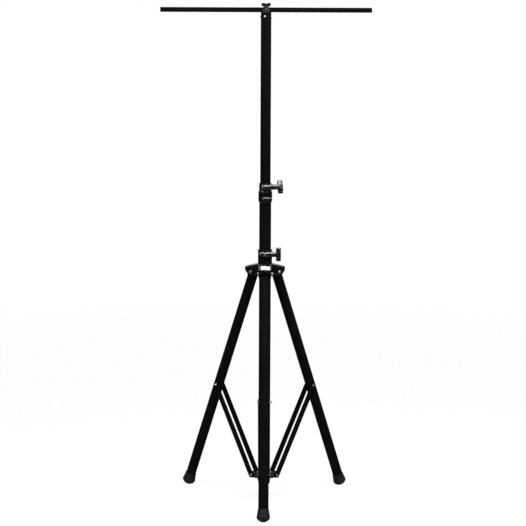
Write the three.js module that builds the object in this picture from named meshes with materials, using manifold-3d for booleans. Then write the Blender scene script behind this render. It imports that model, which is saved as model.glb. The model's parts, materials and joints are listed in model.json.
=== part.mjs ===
// A folding three-legged stage lighting stand with a telescoping mast and a cross bar on its head.
// Millimetres, +Z up. The cross bar lies along X, one leg points along -Y and two point to the rear.
// The floor is at z = 0, and the origin lies under the middle of the whole stand.

import * as THREE from 'three';
import { mergeVertices } from 'three/addons/utils/BufferGeometryUtils.js';
import Module from 'manifold-3d';

const wasm = await Module();
wasm.setup();

// Fits
const gap = 0.3; // between pieces that seat on each other or slide along each other
const overrun = 2; // how far a cutting tool runs past the face that it cuts
const weldTolerance = 0.0001; // vertices closer than this are one vertex

// Mast tubes
const lowerTubeRadius = 20;
const upperTubeRadius = 17.5;
const mastTubeWall = 1.5;
const lowerTubeFoot = 50; // height of the lower tube's bottom end
const tubeBetweenCollars = 161.1; // lower tube showing between the leg hub and the mast collar
const upperTubeLength = 1000;
const upperTubeRaised = 564.5; // length standing clear of the mast collar

// Plug in the bottom of the lower tube
const footPlugFlange = 2.5;
const footPlugDepth = 15;
const footPlugEdge = 1;

// Bush on the bottom of the upper tube, which guides it in the lower tube
const bushLength = 30;
const bushFloor = 3;
const bushBore = 6; // radius of the air hole in its floor

// Mast collar: a socket on the lower tube and a split clamp on the upper tube
const collarTurn = THREE.MathUtils.degToRad(16); // the clamp's gap faces this far to the right of the front
const collarSocketWall = 3;
const collarClampWall = 1.9;
const collarMouthWall = 0.9;
const collarSocketDepth = 33;
const collarTaper = 6;
const collarLowerHeight = 36.5;
const collarStep = 3;
const collarHeight = 61.5;
const collarSlot = 3;

// Liner of the mast collar
const mastLinerWall = 1;
const mastLinerLip = 2;
const mastLinerLipReach = 2.8; // how far the lip stands out past the liner's wall

// Clamp across the mast collar's gap
const mastClampRise = 53.5; // above the collar's bottom
const mastClampStand = 5; // from the collar's side out to the clamp's centre line
const earRadius = 8.7;
const earHalf = 15.5; // half the length of the two ears together
const earEdge = 1;

// Pinch bolt low on the mast collar, threaded into the right ear
const pinchRise = 14.5;
const pinchStand = 3.2; // from the collar's side out to the bolt's centre line
const pinchEarRadius = 6.3;
const pinchEarHalf = 14.4;

// Bolts and nuts
const clampBolt = { shank: 3, flats: 5, head: 4, hole: 3.4 };
const pinchBolt = { shank: 2.5, flats: 4, head: 3.4, hole: 2.9 };
const pivotBolt = { shank: 3, flats: 5, head: 4, hole: 3.4 };
const strutBolt = { shank: 2.5, flats: 4.2, head: 1.8, hole: 2.9 };
const nutHeight = 4.5;
const thinNutHeight = 2.2;
const boltEnd = 1.5; // thread showing past a nut
const longBoltEnd = 4.5;

// Moulded T-knobs
const knobShaftLength = 20;
const knobShaftRadius = 9;
const knobWaistRadius = 8.2;
const knobHandleLength = 46;
const knobHandleAxial = 16.7; // along the clamp's axis
const knobHandleBelly = 15; // thickness in its middle
const knobHandleTip = 11; // thickness near its ends
const knobCorner = 4;
const knobBevel = 1.8;
const knobScrewDepth = 12; // length of the clamp bolt inside the knob
const mastKnobTurn = THREE.MathUtils.degToRad(18);
const hubKnobTurn = THREE.MathUtils.degToRad(4);

// Leg geometry
const legAngle = THREE.MathUtils.degToRad(19); // from upright, with the stand open
const hubPivotHeight = 781;
const hubPivotRadius = 43;
const strutPivotDistance = 430; // along the leg from its pivot on the hub
const spreaderPivotHeight = 73.5;
const spreaderPivotRadius = 40;
const legRadius = 17;
const legWall = 1.5;
const legHeadroom = 5; // tube above its pivot on the hub

// Plug in the top of each leg
const legPlugCap = 2.2;
const legPlugEdge = 1.6;
const legPlugDepth = 22;
const legPlugWall = 2.2;

// Rubber feet
const footDomeExcess = 2.7; // how much larger the sole's dome is than the rim
const footFlare = 3.6; // how much farther the rim reaches than the top
const footWall = 1.4;
const footHeight = 28.6; // from the rim to the top edge
const footLip = 3.2; // height of the plain band at the top
const footRimBand = 2;
const footSole = 14; // rubber under the end of the tube
const groundCut = 0.6; // depth of the flat that the foot stands on
const fluteCount = 12;
const fluteRadius = 3.1;
const fluteLength = 16.5;
const fluteLean = THREE.MathUtils.degToRad(3.5);
const fluteRise = 3.4; // from the rim up to the flute's lower end
const fluteOutShare = 0.42; // how far a flute's centre line lies outside the rim, against its radius
const flutePhaseShare = 0.5; // turns the flutes by a share of their pitch

// Leg hub
const hubDrop = 11; // from the leg pivots down to its bottom face
const hubCoreWall = 2.1; // round its liner
const hubSlide = 0.6; // clearance of its lower bore on the mast
const hubCollarTop = 74.4; // above the leg pivots
const hubSlot = 3;
const hubSlotFoot = 42; // above the leg pivots
const hubCollarEdge = 1;
const armSideRoom = 0.9; // between a leg and the arm's cheeks
const armCheek = 3.8;
const armRoot = 31; // height of the arm's crown where it leaves the core
const armSlope = THREE.MathUtils.degToRad(14.5);
const armCrown = 4.5; // how much higher the arm's middle is than its edges
const armEndRoom = 5.7; // between a leg and the arm's end, at the pivots' height
const armNoseHeight = 9.5; // of the arm's farthest point above the pivots
const armNoseRound = 11; // how far the rounding of its top reaches back
const armNoseCorner = 8; // rounding of its end as seen from above
const armArchTop = 6.2; // of the arch over the leg in the arm's end, above the pivots
const armArchFoot = 0.4; // where that arch begins at the cheeks
const armUndercutReach = 56;
const armUndercutHeight = 7; // of the undercut's lower end below the pivots

// Liner of the hub's collar, and the clamp across its gap
const hubLinerWall = 1.3;
const hubLinerLip = 2.2;
const hubLinerLipReach = 3.4;
const hubLinerLength = 35;
const hubClampRise = 64.8;
const hubClampStand = 4; // from the hub's core out to the clamp's centre line
const hubEarShift = 1.1; // its ears reach this much farther on the knob's side

// Spreader bracket at the foot of the mast
const spreaderDrop = 9;
const spreaderRise = 11.5;
const spreaderCoreWall = 4.2;
const spreaderHalfWidth = 18.1;
const spreaderNose = 8.5;
const spreaderWall = 3.2;
const spreaderScrewRise = 3.5;

// Struts: two flat strips to each leg
const stripWidth = 19;
const stripThickness = 2;
const rivetRadius = 2.5;
const rivetHeadRadius = 4.4;
const rivetHead = 1.6;
const rivetHole = 2.8;

// Screws
const screwRadius = 2;
const screwHeadRadius = 3.6;
const screwHead = 2;
const screwHole = 2.3;
const screwDepth = 7;
const panShare = 0.72; // a pan head's top against its rim

// Head of the upper tube, with the window that the cross bar lies in
const headShoulder = 3.7; // under the window
const headSpigot = 32;
const headSpigotBore = 11;
const headRoof = 2.2;
const headTopRadius = 9.6;
const headCheekRadius = 10.9; // at the top of the window
const headScrewDrop = 10; // from the top of the tube to its screws
const headScrewTurn = THREE.MathUtils.degToRad(-12);
const headScrewCount = 4;

// Cross bar
const barSide = 16;
const barCorner = 1.6;
const barWall = 1.5;
const barLength = 700;
const barCapFlange = 1.2;
const barCapDepth = 14;

// Wing knob on the head
const wingTurn = THREE.MathUtils.degToRad(28);
const wingNeckRadius = 8.8;
const wingNeck = 1.2;
const wingSpan = 33;
const wingHeight = 10.8;
const wingSaddle = 3; // how far the middle dips
const wingThickness = 8;
const wingBevel = 1.6;
const wingCorner = 3.2;
const wingScrewRadius = 4;
const wingScrewHole = 4.4;
const wingScrewDepth = 6;

// Heights and lengths that follow from the sizes above
const hubTop = hubPivotHeight + hubCollarTop + gap + hubLinerLip;
const collarBottom = hubTop + tubeBetweenCollars;
const lowerTubeTop = collarBottom + collarSocketDepth;
const collarTop = collarBottom + collarHeight;
const upperTubeTop = collarTop + mastLinerLip + upperTubeRaised;
const upperTubeBottom = upperTubeTop - upperTubeLength;
const windowFloor = upperTubeTop + headShoulder;
const barCentre = windowFloor + gap + barSide / 2;
const windowTop = barCentre + barSide / 2 + gap;
const headTop = windowTop + headRoof;
const mastLinerInner = upperTubeRadius + gap;
const mastLinerOuter = mastLinerInner + mastLinerWall;
const collarBore = mastLinerOuter + gap;
const collarNeck = upperTubeRadius + gap + gap;
const collarUpperRadius = collarBore + collarClampWall;
const collarLowerRadius = lowerTubeRadius + gap + collarSocketWall;
const collarMouthRadius = lowerTubeRadius + gap + collarMouthWall;
const mastClampRadius = collarUpperRadius + mastClampStand;
const pinchRadius = collarLowerRadius + pinchStand;
const hubLinerInner = lowerTubeRadius + gap;
const hubLinerOuter = hubLinerInner + hubLinerWall;
const hubCoreRadius = hubLinerOuter + gap + hubCoreWall;
const hubClampRadius = hubCoreRadius + hubClampStand;
const armHalfWidth = legRadius + armSideRoom + armCheek;
const armReach = hubPivotRadius + legRadius + armEndRoom + armCheek;
const spreaderCoreRadius = lowerTubeRadius + gap + spreaderCoreWall;
const footTopRadius = legRadius + gap + footWall;
const footRimRadius = footTopRadius + footFlare;
const footDome = footRimRadius + footDomeExcess;
const domeCentreHeight = footDome - groundCut;
const legReach = (hubPivotHeight - domeCentreHeight) / Math.cos(legAngle);
const rimDistance = legReach + Math.sqrt(footDome ** 2 - footRimRadius ** 2);
const footTopDistance = rimDistance - footHeight;
const legTubeEnd = legReach + footDome - footSole;
const stripInner = Math.max(spreaderHalfWidth, legRadius) + gap;
const stripOuter = stripInner + stripThickness;
const strutPivotRadius = hubPivotRadius + strutPivotDistance * Math.sin(legAngle);
const strutPivotHeight = hubPivotHeight - strutPivotDistance * Math.cos(legAngle);
const strutRun = strutPivotRadius - spreaderPivotRadius;
const strutDrop = strutPivotHeight - spreaderPivotHeight;
const strutLength = Math.hypot(strutRun, strutDrop);
const strutAngle = Math.atan2(strutRun, strutDrop);

// Finishes
const blackPaint = { color: 0x17181a, roughness: 0.42, metalness: 0.35 };
const blackCasting = { color: 0x1a1b1d, roughness: 0.5, metalness: 0.3 };
const blackPlastic = { color: 0x141414, roughness: 0.48, metalness: 0 };
const blackRubber = { color: 0x1b1d20, roughness: 0.75, metalness: 0 };
const darkNylon = { color: 0x101011, roughness: 0.4, metalness: 0 };
const brightZinc = { color: 0xc9ccd0, roughness: 0.3, metalness: 0.9 };

// How finely round shapes are drawn
const tubeSides = 24;
const collarSides = 24;
const legSides = 18;
const footSides = 24;
const smallSides = 10;
const holeSides = 8;
const curveSteps = 4;

// Turning a closed three.js geometry into a solid and back, to join and cut shapes
function solidOf(geometry) {
  const bare = geometry.clone();
  bare.deleteAttribute('normal');
  bare.deleteAttribute('uv');
  const welded = mergeVertices(bare, weldTolerance);
  const corners = welded.index.array;
  const triVerts = [];
  for (let i = 0; i < corners.length; i += 3) {
    const [a, b, c] = [corners[i], corners[i + 1], corners[i + 2]];
    if (a !== b && b !== c && c !== a) triVerts.push(a, b, c);
  }
  return new wasm.Manifold(new wasm.Mesh({
    numProp: 3,
    vertProperties: welded.attributes.position.array,
    triVerts: Uint32Array.from(triVerts),
  }));
}

function geometryOf(solid) {
  const mesh = solid.getMesh();
  const geometry = new THREE.BufferGeometry();
  geometry.setAttribute('position', new THREE.BufferAttribute(mesh.vertProperties, 3));
  geometry.setIndex(new THREE.BufferAttribute(mesh.triVerts, 1));
  geometry.computeVertexNormals();
  return geometry;
}

function join(...shapes) {
  const solids = shapes.map(solidOf);
  return geometryOf(solids.reduce((whole, next) => whole.add(next)));
}

function cut(shape, ...tools) {
  const solids = tools.map(solidOf);
  return geometryOf(solids.reduce((rest, tool) => rest.subtract(tool), solidOf(shape)));
}

function common(shape, other) {
  return geometryOf(solidOf(shape).intersect(solidOf(other)));
}

// A shape turned about Z from its outline, given as [radius, height] corners that go round it
// anticlockwise, with the radius to the right and the height upwards
function turned(outline, sides = collarSides) {
  const points = outline.map(([radius, height]) => new THREE.Vector2(radius, height));
  const [first] = points;
  const last = points[points.length - 1];
  if (first.x > 0 || last.x > 0) points.push(first.clone());
  return new THREE.LatheGeometry(points, sides).rotateX(Math.PI / 2);
}

function ring(inner, outer, low, high, sides = collarSides) {
  return turned([[inner, low], [outer, low], [outer, high], [inner, high]], sides);
}

// A round bar along Z or along X
function bar(radius, low, high, sides = smallSides) {
  return new THREE.CylinderGeometry(radius, radius, high - low, sides)
    .rotateX(Math.PI / 2).translate(0, 0, (low + high) / 2);
}

function crossBar(radius, left, right, sides = smallSides) {
  return bar(radius, left, right, sides).rotateY(Math.PI / 2);
}

function block(width, depth, low, high) {
  return new THREE.BoxGeometry(width, depth, high - low).translate(0, 0, (low + high) / 2);
}

// A slab that lies across X, from an outline of (outward, up) corners, where outward is -Y
function slab(shape, left, right) {
  return new THREE.ExtrudeGeometry(shape, { depth: right - left, bevelEnabled: false, curveSegments: curveSteps })
    .rotateX(Math.PI / 2).rotateZ(-Math.PI / 2).translate(right, 0, 0);
}

function outlineOf(corners) {
  return new THREE.Shape(corners.map(([x, y]) => new THREE.Vector2(x, y)));
}

function roundedRectangle(halfWidth, halfHeight, corner) {
  const shape = new THREE.Shape();
  shape.moveTo(halfWidth, halfHeight - corner);
  shape.absarc(halfWidth - corner, halfHeight - corner, corner, 0, Math.PI / 2);
  shape.absarc(corner - halfWidth, halfHeight - corner, corner, Math.PI / 2, Math.PI);
  shape.absarc(corner - halfWidth, corner - halfHeight, corner, Math.PI, Math.PI * 3 / 2);
  shape.absarc(halfWidth - corner, corner - halfHeight, corner, Math.PI * 3 / 2, Math.PI * 2);
  return shape;
}

// Hexagon heads and nuts on the X axis, from the half distance across their flats
function hexagon(flats, left, right) {
  return crossBar(flats / Math.cos(Math.PI / 6), left, right, 6);
}

// A bolt along X whose head bears on the face at headFace, to the left of it
function boltAcross(bolt, headFace, end) {
  const head = hexagon(bolt.flats, headFace - bolt.head, headFace);
  return join(head, crossBar(bolt.shank, headFace - gap, end));
}

function nutAcross(bolt, face, height = nutHeight) {
  return cut(hexagon(bolt.flats, face, face + height),
    crossBar(bolt.shank + gap, face - overrun, face + height + overrun));
}

// A pan-head screw that points to the mast's centre line from a surface at the given radius
function radialScrew(surface, turn) {
  const head = new THREE.CylinderGeometry(screwHeadRadius * panShare, screwHeadRadius, screwHead, smallSides)
    .rotateX(Math.PI / 2).translate(0, 0, surface + gap + screwHead / 2);
  const shank = bar(screwRadius, surface - screwDepth, surface + gap + screwHead / 2, holeSides);
  return join(head, shank).rotateX(Math.PI / 2).rotateZ(turn);
}

function radialHole(surface, turn) {
  return bar(screwHole, surface - screwDepth - overrun, surface + overrun, holeSides)
    .rotateX(Math.PI / 2).rotateZ(turn);
}

// The stand, and the pieces put into it
const stand = new THREE.Group();

function put(parent, name, geometry, finish) {
  const mesh = new THREE.Mesh(geometry, new THREE.MeshStandardMaterial(finish));
  mesh.name = name;
  parent.add(mesh);
  return mesh;
}

function group(parent, turn = 0) {
  const holder = new THREE.Group();
  holder.rotation.z = turn;
  parent.add(holder);
  return holder;
}

const legTurns = { front: 0, right: Math.PI * 2 / 3, left: -Math.PI * 2 / 3 };
const legTurnList = Object.values(legTurns);
const gapTurns = legTurnList.map((turn) => turn + Math.PI / 3);

// Lower mast: tube, bottom plug, spreader bracket and its screws

function lowerTube() {
  const tube = ring(lowerTubeRadius - mastTubeWall, lowerTubeRadius, lowerTubeFoot, lowerTubeTop, tubeSides);
  const holes = gapTurns.map((turn) => radialHole(spreaderCoreRadius, turn)
    .translate(0, 0, spreaderPivotHeight + spreaderScrewRise));
  return cut(tube, ...holes);
}

function footPlug() {
  const bore = lowerTubeRadius - mastTubeWall - gap;
  const top = lowerTubeFoot - gap;
  return turned([
    [0, top - footPlugFlange], [lowerTubeRadius - footPlugEdge, top - footPlugFlange],
    [lowerTubeRadius, top - footPlugFlange + footPlugEdge], [lowerTubeRadius, top],
    [bore, top], [bore, top + footPlugDepth - footPlugEdge],
    [bore - footPlugEdge, top + footPlugDepth], [0, top + footPlugDepth],
  ], legSides);
}

function spreaderArm() {
  const reach = spreaderPivotRadius + spreaderNose;
  const shape = new THREE.Shape();
  shape.moveTo(0, -spreaderDrop);
  shape.lineTo(spreaderPivotRadius, -spreaderDrop);
  shape.quadraticCurveTo(reach, -spreaderDrop, reach, 0);
  shape.quadraticCurveTo(reach, spreaderRise, spreaderPivotRadius, spreaderRise);
  shape.lineTo(0, spreaderRise);
  return slab(shape, -spreaderHalfWidth, spreaderHalfWidth);
}

function spreaderPocket() {
  const inner = spreaderHalfWidth - spreaderWall;
  const start = spreaderCoreRadius - spreaderWall;
  const end = spreaderPivotRadius + spreaderNose - spreaderWall;
  const roof = spreaderRise - spreaderWall;
  const shape = outlineOf([
    [start, -spreaderDrop - overrun], [end - spreaderWall, -spreaderDrop - overrun],
    [end, 0], [end - spreaderWall, roof], [start, roof],
  ]);
  return slab(shape, -inner, inner);
}

function spreaderBracket() {
  const arms = legTurnList.map((turn) => spreaderArm().rotateZ(turn));
  const pockets = legTurnList.map((turn) => spreaderPocket().rotateZ(turn));
  const star = cut(join(...arms), ...pockets);
  const core = bar(spreaderCoreRadius, -spreaderDrop, spreaderRise, collarSides);
  const bore = bar(lowerTubeRadius + gap, -spreaderDrop - overrun, spreaderRise + overrun, collarSides);
  const holes = gapTurns.map((turn) => radialHole(spreaderCoreRadius, turn).translate(0, 0, spreaderScrewRise));
  const pivotHoles = legTurnList.map((turn) => crossBar(rivetHole, -spreaderHalfWidth - overrun,
    spreaderHalfWidth + overrun, holeSides).translate(0, -spreaderPivotRadius, 0).rotateZ(turn));
  return cut(join(star, core), bore, ...holes, ...pivotHoles).translate(0, 0, spreaderPivotHeight);
}

// Split clamps: two ears across a gap at the front, with a hole for their bolt

function ears(radius, half, reach, hole) {
  const edge = Math.min(earEdge, radius / 2);
  const pair = turned([
    [0, -half], [radius - edge, -half], [radius, edge - half],
    [radius, half - edge], [radius - edge, half], [0, half],
  ], smallSides).rotateY(Math.PI / 2);
  return {
    pair: pair.translate(0, -reach, 0),
    hole: crossBar(hole, -half - overrun, half + overrun, holeSides).translate(0, -reach, 0),
  };
}

function mastCollar() {
  const upperStart = collarLowerHeight + collarStep;
  const seat = collarSocketDepth + gap;
  const linerSeat = seat + collarStep;
  const shell = turned([
    [0, 0], [collarMouthRadius, 0], [collarLowerRadius, collarTaper],
    [collarLowerRadius, collarLowerHeight], [collarUpperRadius, upperStart],
    [collarUpperRadius, collarHeight], [0, collarHeight],
  ]);
  const bore = turned([
    [0, -overrun], [lowerTubeRadius + gap, -overrun], [lowerTubeRadius + gap, seat],
    [collarNeck, seat], [collarNeck, linerSeat], [collarBore, linerSeat],
    [collarBore, collarHeight + overrun], [0, collarHeight + overrun],
  ]);
  const clamp = ears(earRadius, earHalf, mastClampRadius, clampBolt.hole);
  const pinch = ears(pinchEarRadius, pinchEarHalf, pinchRadius, pinchBolt.hole);
  const whole = join(shell, clamp.pair.translate(0, 0, mastClampRise), pinch.pair.translate(0, 0, pinchRise));
  const slotDepth = mastClampRadius + earRadius + overrun;
  const slot = block(collarSlot, slotDepth, -overrun, mastClampRise + earRadius + overrun)
    .translate(0, -slotDepth / 2, 0);
  return cut(whole, bore, slot, clamp.hole.translate(0, 0, mastClampRise), pinch.hole.translate(0, 0, pinchRise))
    .translate(0, 0, collarBottom);
}

function mastLiner() {
  const foot = collarBottom + collarSocketDepth + collarStep + gap + gap;
  const lip = collarTop + gap;
  const slot = block(collarSlot, collarUpperRadius + overrun, foot - overrun, lip + mastLinerLip + overrun)
    .translate(0, -(collarUpperRadius + overrun) / 2, 0);
  const liner = turned([
    [mastLinerInner, foot], [mastLinerOuter, foot], [mastLinerOuter, lip],
    [mastLinerOuter + mastLinerLipReach, lip], [mastLinerOuter + mastLinerLipReach, lip + mastLinerLip - gap],
    [mastLinerInner, lip + mastLinerLip - gap],
  ]);
  return cut(liner, slot);
}

// T-knob on the X axis, with its root at x = 0

// The handle, thickest in its middle, from its outline as seen along the clamp's axis
function knobHandle() {
  const end = knobHandleLength / 2 - knobBevel;
  const tip = knobHandleTip / 2 - knobBevel;
  const belly = knobHandleBelly - knobBevel - knobBevel - tip; // where the side curves' handles lie
  const shape = new THREE.Shape();
  shape.moveTo(tip, end - knobCorner);
  shape.quadraticCurveTo(tip, end, 0, end);
  shape.quadraticCurveTo(-tip, end, -tip, end - knobCorner);
  shape.quadraticCurveTo(-belly, 0, -tip, knobCorner - end);
  shape.quadraticCurveTo(-tip, -end, 0, -end);
  shape.quadraticCurveTo(tip, -end, tip, knobCorner - end);
  shape.quadraticCurveTo(belly, 0, tip, end - knobCorner);
  return new THREE.ExtrudeGeometry(shape, {
    depth: knobHandleAxial - knobBevel - knobBevel, bevelThickness: knobBevel, bevelSize: knobBevel,
    bevelSegments: 2, curveSegments: 3,
  }).rotateX(Math.PI / 2).rotateZ(Math.PI / 2).translate(knobShaftLength + knobBevel, 0, 0);
}

function tKnob() {
  const middle = knobShaftLength / 2;
  const root = knobShaftLength + knobHandleAxial / 2;
  const shaft = turned([
    [0, 0], [knobShaftRadius - earEdge, 0], [knobShaftRadius, earEdge], [knobWaistRadius, middle],
    [knobWaistRadius, root], [0, root],
  ], smallSides + 2).rotateY(Math.PI / 2);
  const seat = crossBar(clampBolt.shank + gap, -overrun, knobScrewDepth + gap, smallSides);
  return cut(join(shaft, knobHandle()), seat);
}

function putKnob(parent, name, x, y, z, turn) {
  const knob = put(parent, name, tKnob(), blackPlastic);
  knob.position.set(x, y, z);
  knob.rotation.x = turn;
}

// Leg hub

function armPrism(halfWidth, drop) {
  const shape = new THREE.Shape();
  const deep = armRoot + hubDrop + armCrown + overrun;
  shape.moveTo(-halfWidth, -deep);
  shape.lineTo(halfWidth, -deep);
  shape.lineTo(halfWidth, -armCrown - drop);
  shape.quadraticCurveTo(0, armCrown - drop, -halfWidth, -armCrown - drop);
  return new THREE.ExtrudeGeometry(shape, {
    depth: armReach + armReach, bevelEnabled: false, curveSegments: curveSteps,
  }).rotateX(Math.PI / 2).rotateX(armSlope)
    .translate(0, 0, armRoot + hubCoreRadius * Math.tan(armSlope));
}

function armSide() {
  const noseTop = armRoot - (armReach - hubCoreRadius) * Math.tan(armSlope);
  const high = armRoot + armReach;
  const roundStart = armReach - armNoseRound;
  const shape = outlineOf([
    [0, -hubDrop], [armUndercutReach, -hubDrop], [armUndercutReach, -armUndercutHeight], [armReach, armNoseHeight],
  ]);
  shape.quadraticCurveTo(armReach, noseTop, roundStart, noseTop + armCrown + armNoseRound * Math.tan(armSlope));
  shape.lineTo(roundStart, high);
  shape.lineTo(0, high);
  return shape;
}

// An arm: its crowned and sloping top, its side and its end with rounded corners as seen from above
function hubArm() {
  const top = common(armPrism(armHalfWidth, 0), slab(armSide(), -armHalfWidth, armHalfWidth));
  const plan = new THREE.ExtrudeGeometry(roundedRectangle(armHalfWidth, armReach, armNoseCorner), {
    depth: armReach * 2, bevelEnabled: false, curveSegments: 2,
  }).translate(0, 0, -armReach);
  return common(top, plan);
}

// The hollow of an arm, open below and through the arch in the arm's end
function hubChannel() {
  const inner = armHalfWidth - armCheek;
  const start = hubCoreRadius - armCheek;
  const end = armReach - armCheek;
  const side = outlineOf([
    [start, -hubDrop - overrun], [end, -hubDrop - overrun], [end, armRoot], [start, armRoot],
  ]);
  const arch = new THREE.Shape();
  arch.moveTo(-inner, -hubDrop - overrun);
  arch.lineTo(inner, -hubDrop - overrun);
  arch.lineTo(inner, armArchFoot);
  arch.quadraticCurveTo(0, armArchTop + armArchTop - armArchFoot, -inner, armArchFoot);
  const opening = new THREE.ExtrudeGeometry(arch, {
    depth: armReach - start + overrun, bevelEnabled: false, curveSegments: curveSteps,
  }).rotateX(Math.PI / 2).translate(0, -start, 0);
  return join(common(armPrism(inner, armCheek), slab(side, -inner, inner)), opening);
}

function hubCasting() {
  const arms = legTurnList.map((turn) => hubArm().rotateZ(turn));
  const channels = legTurnList.map((turn) => hubChannel().rotateZ(turn));
  const core = turned([
    [0, -hubDrop], [hubCoreRadius, -hubDrop], [hubCoreRadius, hubCollarTop - hubCollarEdge],
    [hubCoreRadius - hubCollarEdge, hubCollarTop], [0, hubCollarTop],
  ]);
  const clamp = ears(earRadius, earHalf, hubClampRadius, clampBolt.hole);
  clamp.pair.translate(hubEarShift, 0, 0);
  clamp.hole.translate(hubEarShift, 0, 0);
  const linerSeat = hubCollarTop - hubLinerLength;
  const bore = turned([
    [0, -hubDrop - overrun], [lowerTubeRadius + hubSlide, -hubDrop - overrun],
    [lowerTubeRadius + hubSlide, linerSeat], [hubLinerOuter + gap, linerSeat],
    [hubLinerOuter + gap, hubCollarTop + overrun], [0, hubCollarTop + overrun],
  ]);
  const slotDepth = hubClampRadius + earRadius + overrun;
  const slot = block(hubSlot, slotDepth, hubSlotFoot, hubClampRise + earRadius + overrun)
    .translate(0, -slotDepth / 2, 0);
  const pivotHoles = legTurnList.map((turn) => crossBar(pivotBolt.hole, -armHalfWidth - overrun,
    armHalfWidth + overrun, holeSides).translate(0, -hubPivotRadius, 0).rotateZ(turn));
  const star = cut(join(...arms), ...channels);
  const whole = join(star, core, clamp.pair.translate(0, 0, hubClampRise));
  return cut(whole, bore, slot, clamp.hole.translate(0, 0, hubClampRise), ...pivotHoles)
    .translate(0, 0, hubPivotHeight);
}

function hubLiner() {
  const lip = hubPivotHeight + hubCollarTop + gap;
  const foot = lip - hubLinerLength;
  const outline = [
    [hubLinerInner, foot], [hubLinerOuter, foot], [hubLinerOuter, lip],
    [hubLinerOuter + hubLinerLipReach, lip], [hubLinerOuter + hubLinerLipReach, lip + hubLinerLip],
    [hubLinerInner, lip + hubLinerLip],
  ];
  const reach = hubLinerOuter + hubLinerLipReach + overrun;
  const slot = block(hubSlot, reach, foot - overrun, lip - gap).translate(0, -reach / 2, 0);
  return cut(turned(outline), slot);
}

// Legs, in a frame with the hub pivot at the origin and the leg along -Z

function legTube() {
  const tube = ring(legRadius - legWall, legRadius, -legTubeEnd, legHeadroom, legSides);
  return cut(tube,
    crossBar(pivotBolt.hole, -legRadius - overrun, legRadius + overrun, holeSides),
    crossBar(strutBolt.hole, -legRadius - overrun, legRadius + overrun, holeSides)
      .translate(0, 0, -strutPivotDistance));
}

function legPlug() {
  const outer = legRadius - legWall - gap;
  const seat = legHeadroom + gap;
  const plug = turned([
    [outer - legPlugWall, seat - legPlugDepth], [outer, seat - legPlugDepth], [outer, seat], [legRadius, seat],
    [legRadius, seat + legPlugCap - legPlugEdge], [legRadius - legPlugEdge, seat + legPlugCap],
    [0, seat + legPlugCap], [0, seat], [outer - legPlugWall, seat],
  ], legSides);
  return cut(plug, crossBar(pivotBolt.hole, -legRadius - overrun, legRadius + overrun, holeSides));
}

function flutes() {
  const low = fluteRise - rimDistance;
  const middle = fluteRadius + fluteLength / 2;
  const all = [];
  for (let i = 0; i < fluteCount; i += 1) {
    all.push(new THREE.CapsuleGeometry(fluteRadius, fluteLength, 1, 6)
      .rotateX(Math.PI / 2).translate(0, 0, middle).rotateX(fluteLean)
      .translate(0, -footRimRadius - fluteRadius * fluteOutShare, low)
      .rotateZ((i + flutePhaseShare) * Math.PI * 2 / fluteCount));
  }
  return all;
}

function foot() {
  const outline = [[0, -legTubeEnd - gap], [0, -legReach - footDome]];
  const rimAngle = Math.asin(footRimRadius / footDome);
  for (let i = 1; i <= curveSteps; i += 1) {
    const angle = rimAngle * i / curveSteps;
    outline.push([footDome * Math.sin(angle), -legReach - footDome * Math.cos(angle)]);
  }
  outline.push(
    [footRimRadius, footRimBand - rimDistance],
    [footTopRadius, -footTopDistance - footLip],
    [footTopRadius, -footTopDistance],
    [legRadius + gap, -footTopDistance],
    [legRadius + gap, -legTubeEnd - gap],
  );
  const body = turned(outline, footSides);
  const ground = block(footDome * 4, footDome * 4, -footDome * 2, 0)
    .translate(0, -legReach * Math.sin(legAngle), -hubPivotHeight).rotateX(legAngle);
  return cut(body, ...flutes(), ground);
}

// Struts, in a frame with the pivot on the leg at the origin and the strips along -Z

function strip(left, right) {
  const half = stripWidth / 2;
  const shape = new THREE.Shape();
  shape.absarc(0, 0, half, 0, Math.PI);
  shape.absarc(0, -strutLength, half, Math.PI, Math.PI * 2);
  return cut(slab(shape, left, right),
    crossBar(strutBolt.hole, left - overrun, right + overrun, holeSides),
    crossBar(rivetHole, left - overrun, right + overrun, holeSides).translate(0, 0, -strutLength));
}

// The rivet in the strip's lower end. It ends flush with the strip's inner face, so the strut can swing
// clear of the bracket's arm.
function strutRivet() {
  const face = stripOuter + gap;
  return turned([
    [0, stripInner], [rivetRadius, stripInner], [rivetRadius, face], [rivetHeadRadius, face],
    [rivetHeadRadius * panShare, face + rivetHead], [0, face + rivetHead],
  ], smallSides).rotateY(Math.PI / 2);
}

// Upper mast: guide bush, tube, head and its screws

function guideBush() {
  const outer = lowerTubeRadius - mastTubeWall - gap;
  const inner = upperTubeRadius - mastTubeWall - gap;
  const edge = upperTubeBottom - gap;
  return turned([
    [bushBore, edge - bushFloor], [outer, edge - bushFloor], [outer, edge], [inner, edge],
    [inner, edge + bushLength], [bushBore, edge + bushLength],
  ], tubeSides);
}

function upperTube() {
  const tube = ring(upperTubeRadius - mastTubeWall, upperTubeRadius, upperTubeBottom, upperTubeTop, tubeSides);
  return cut(tube, ...headScrewPlaces().map((turn) => radialHole(upperTubeRadius, turn)
    .translate(0, 0, upperTubeTop - headScrewDrop)));
}

function headScrewPlaces() {
  return Array.from({ length: headScrewCount }, (_, i) => headScrewTurn + i * Math.PI * 2 / headScrewCount);
}

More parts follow.
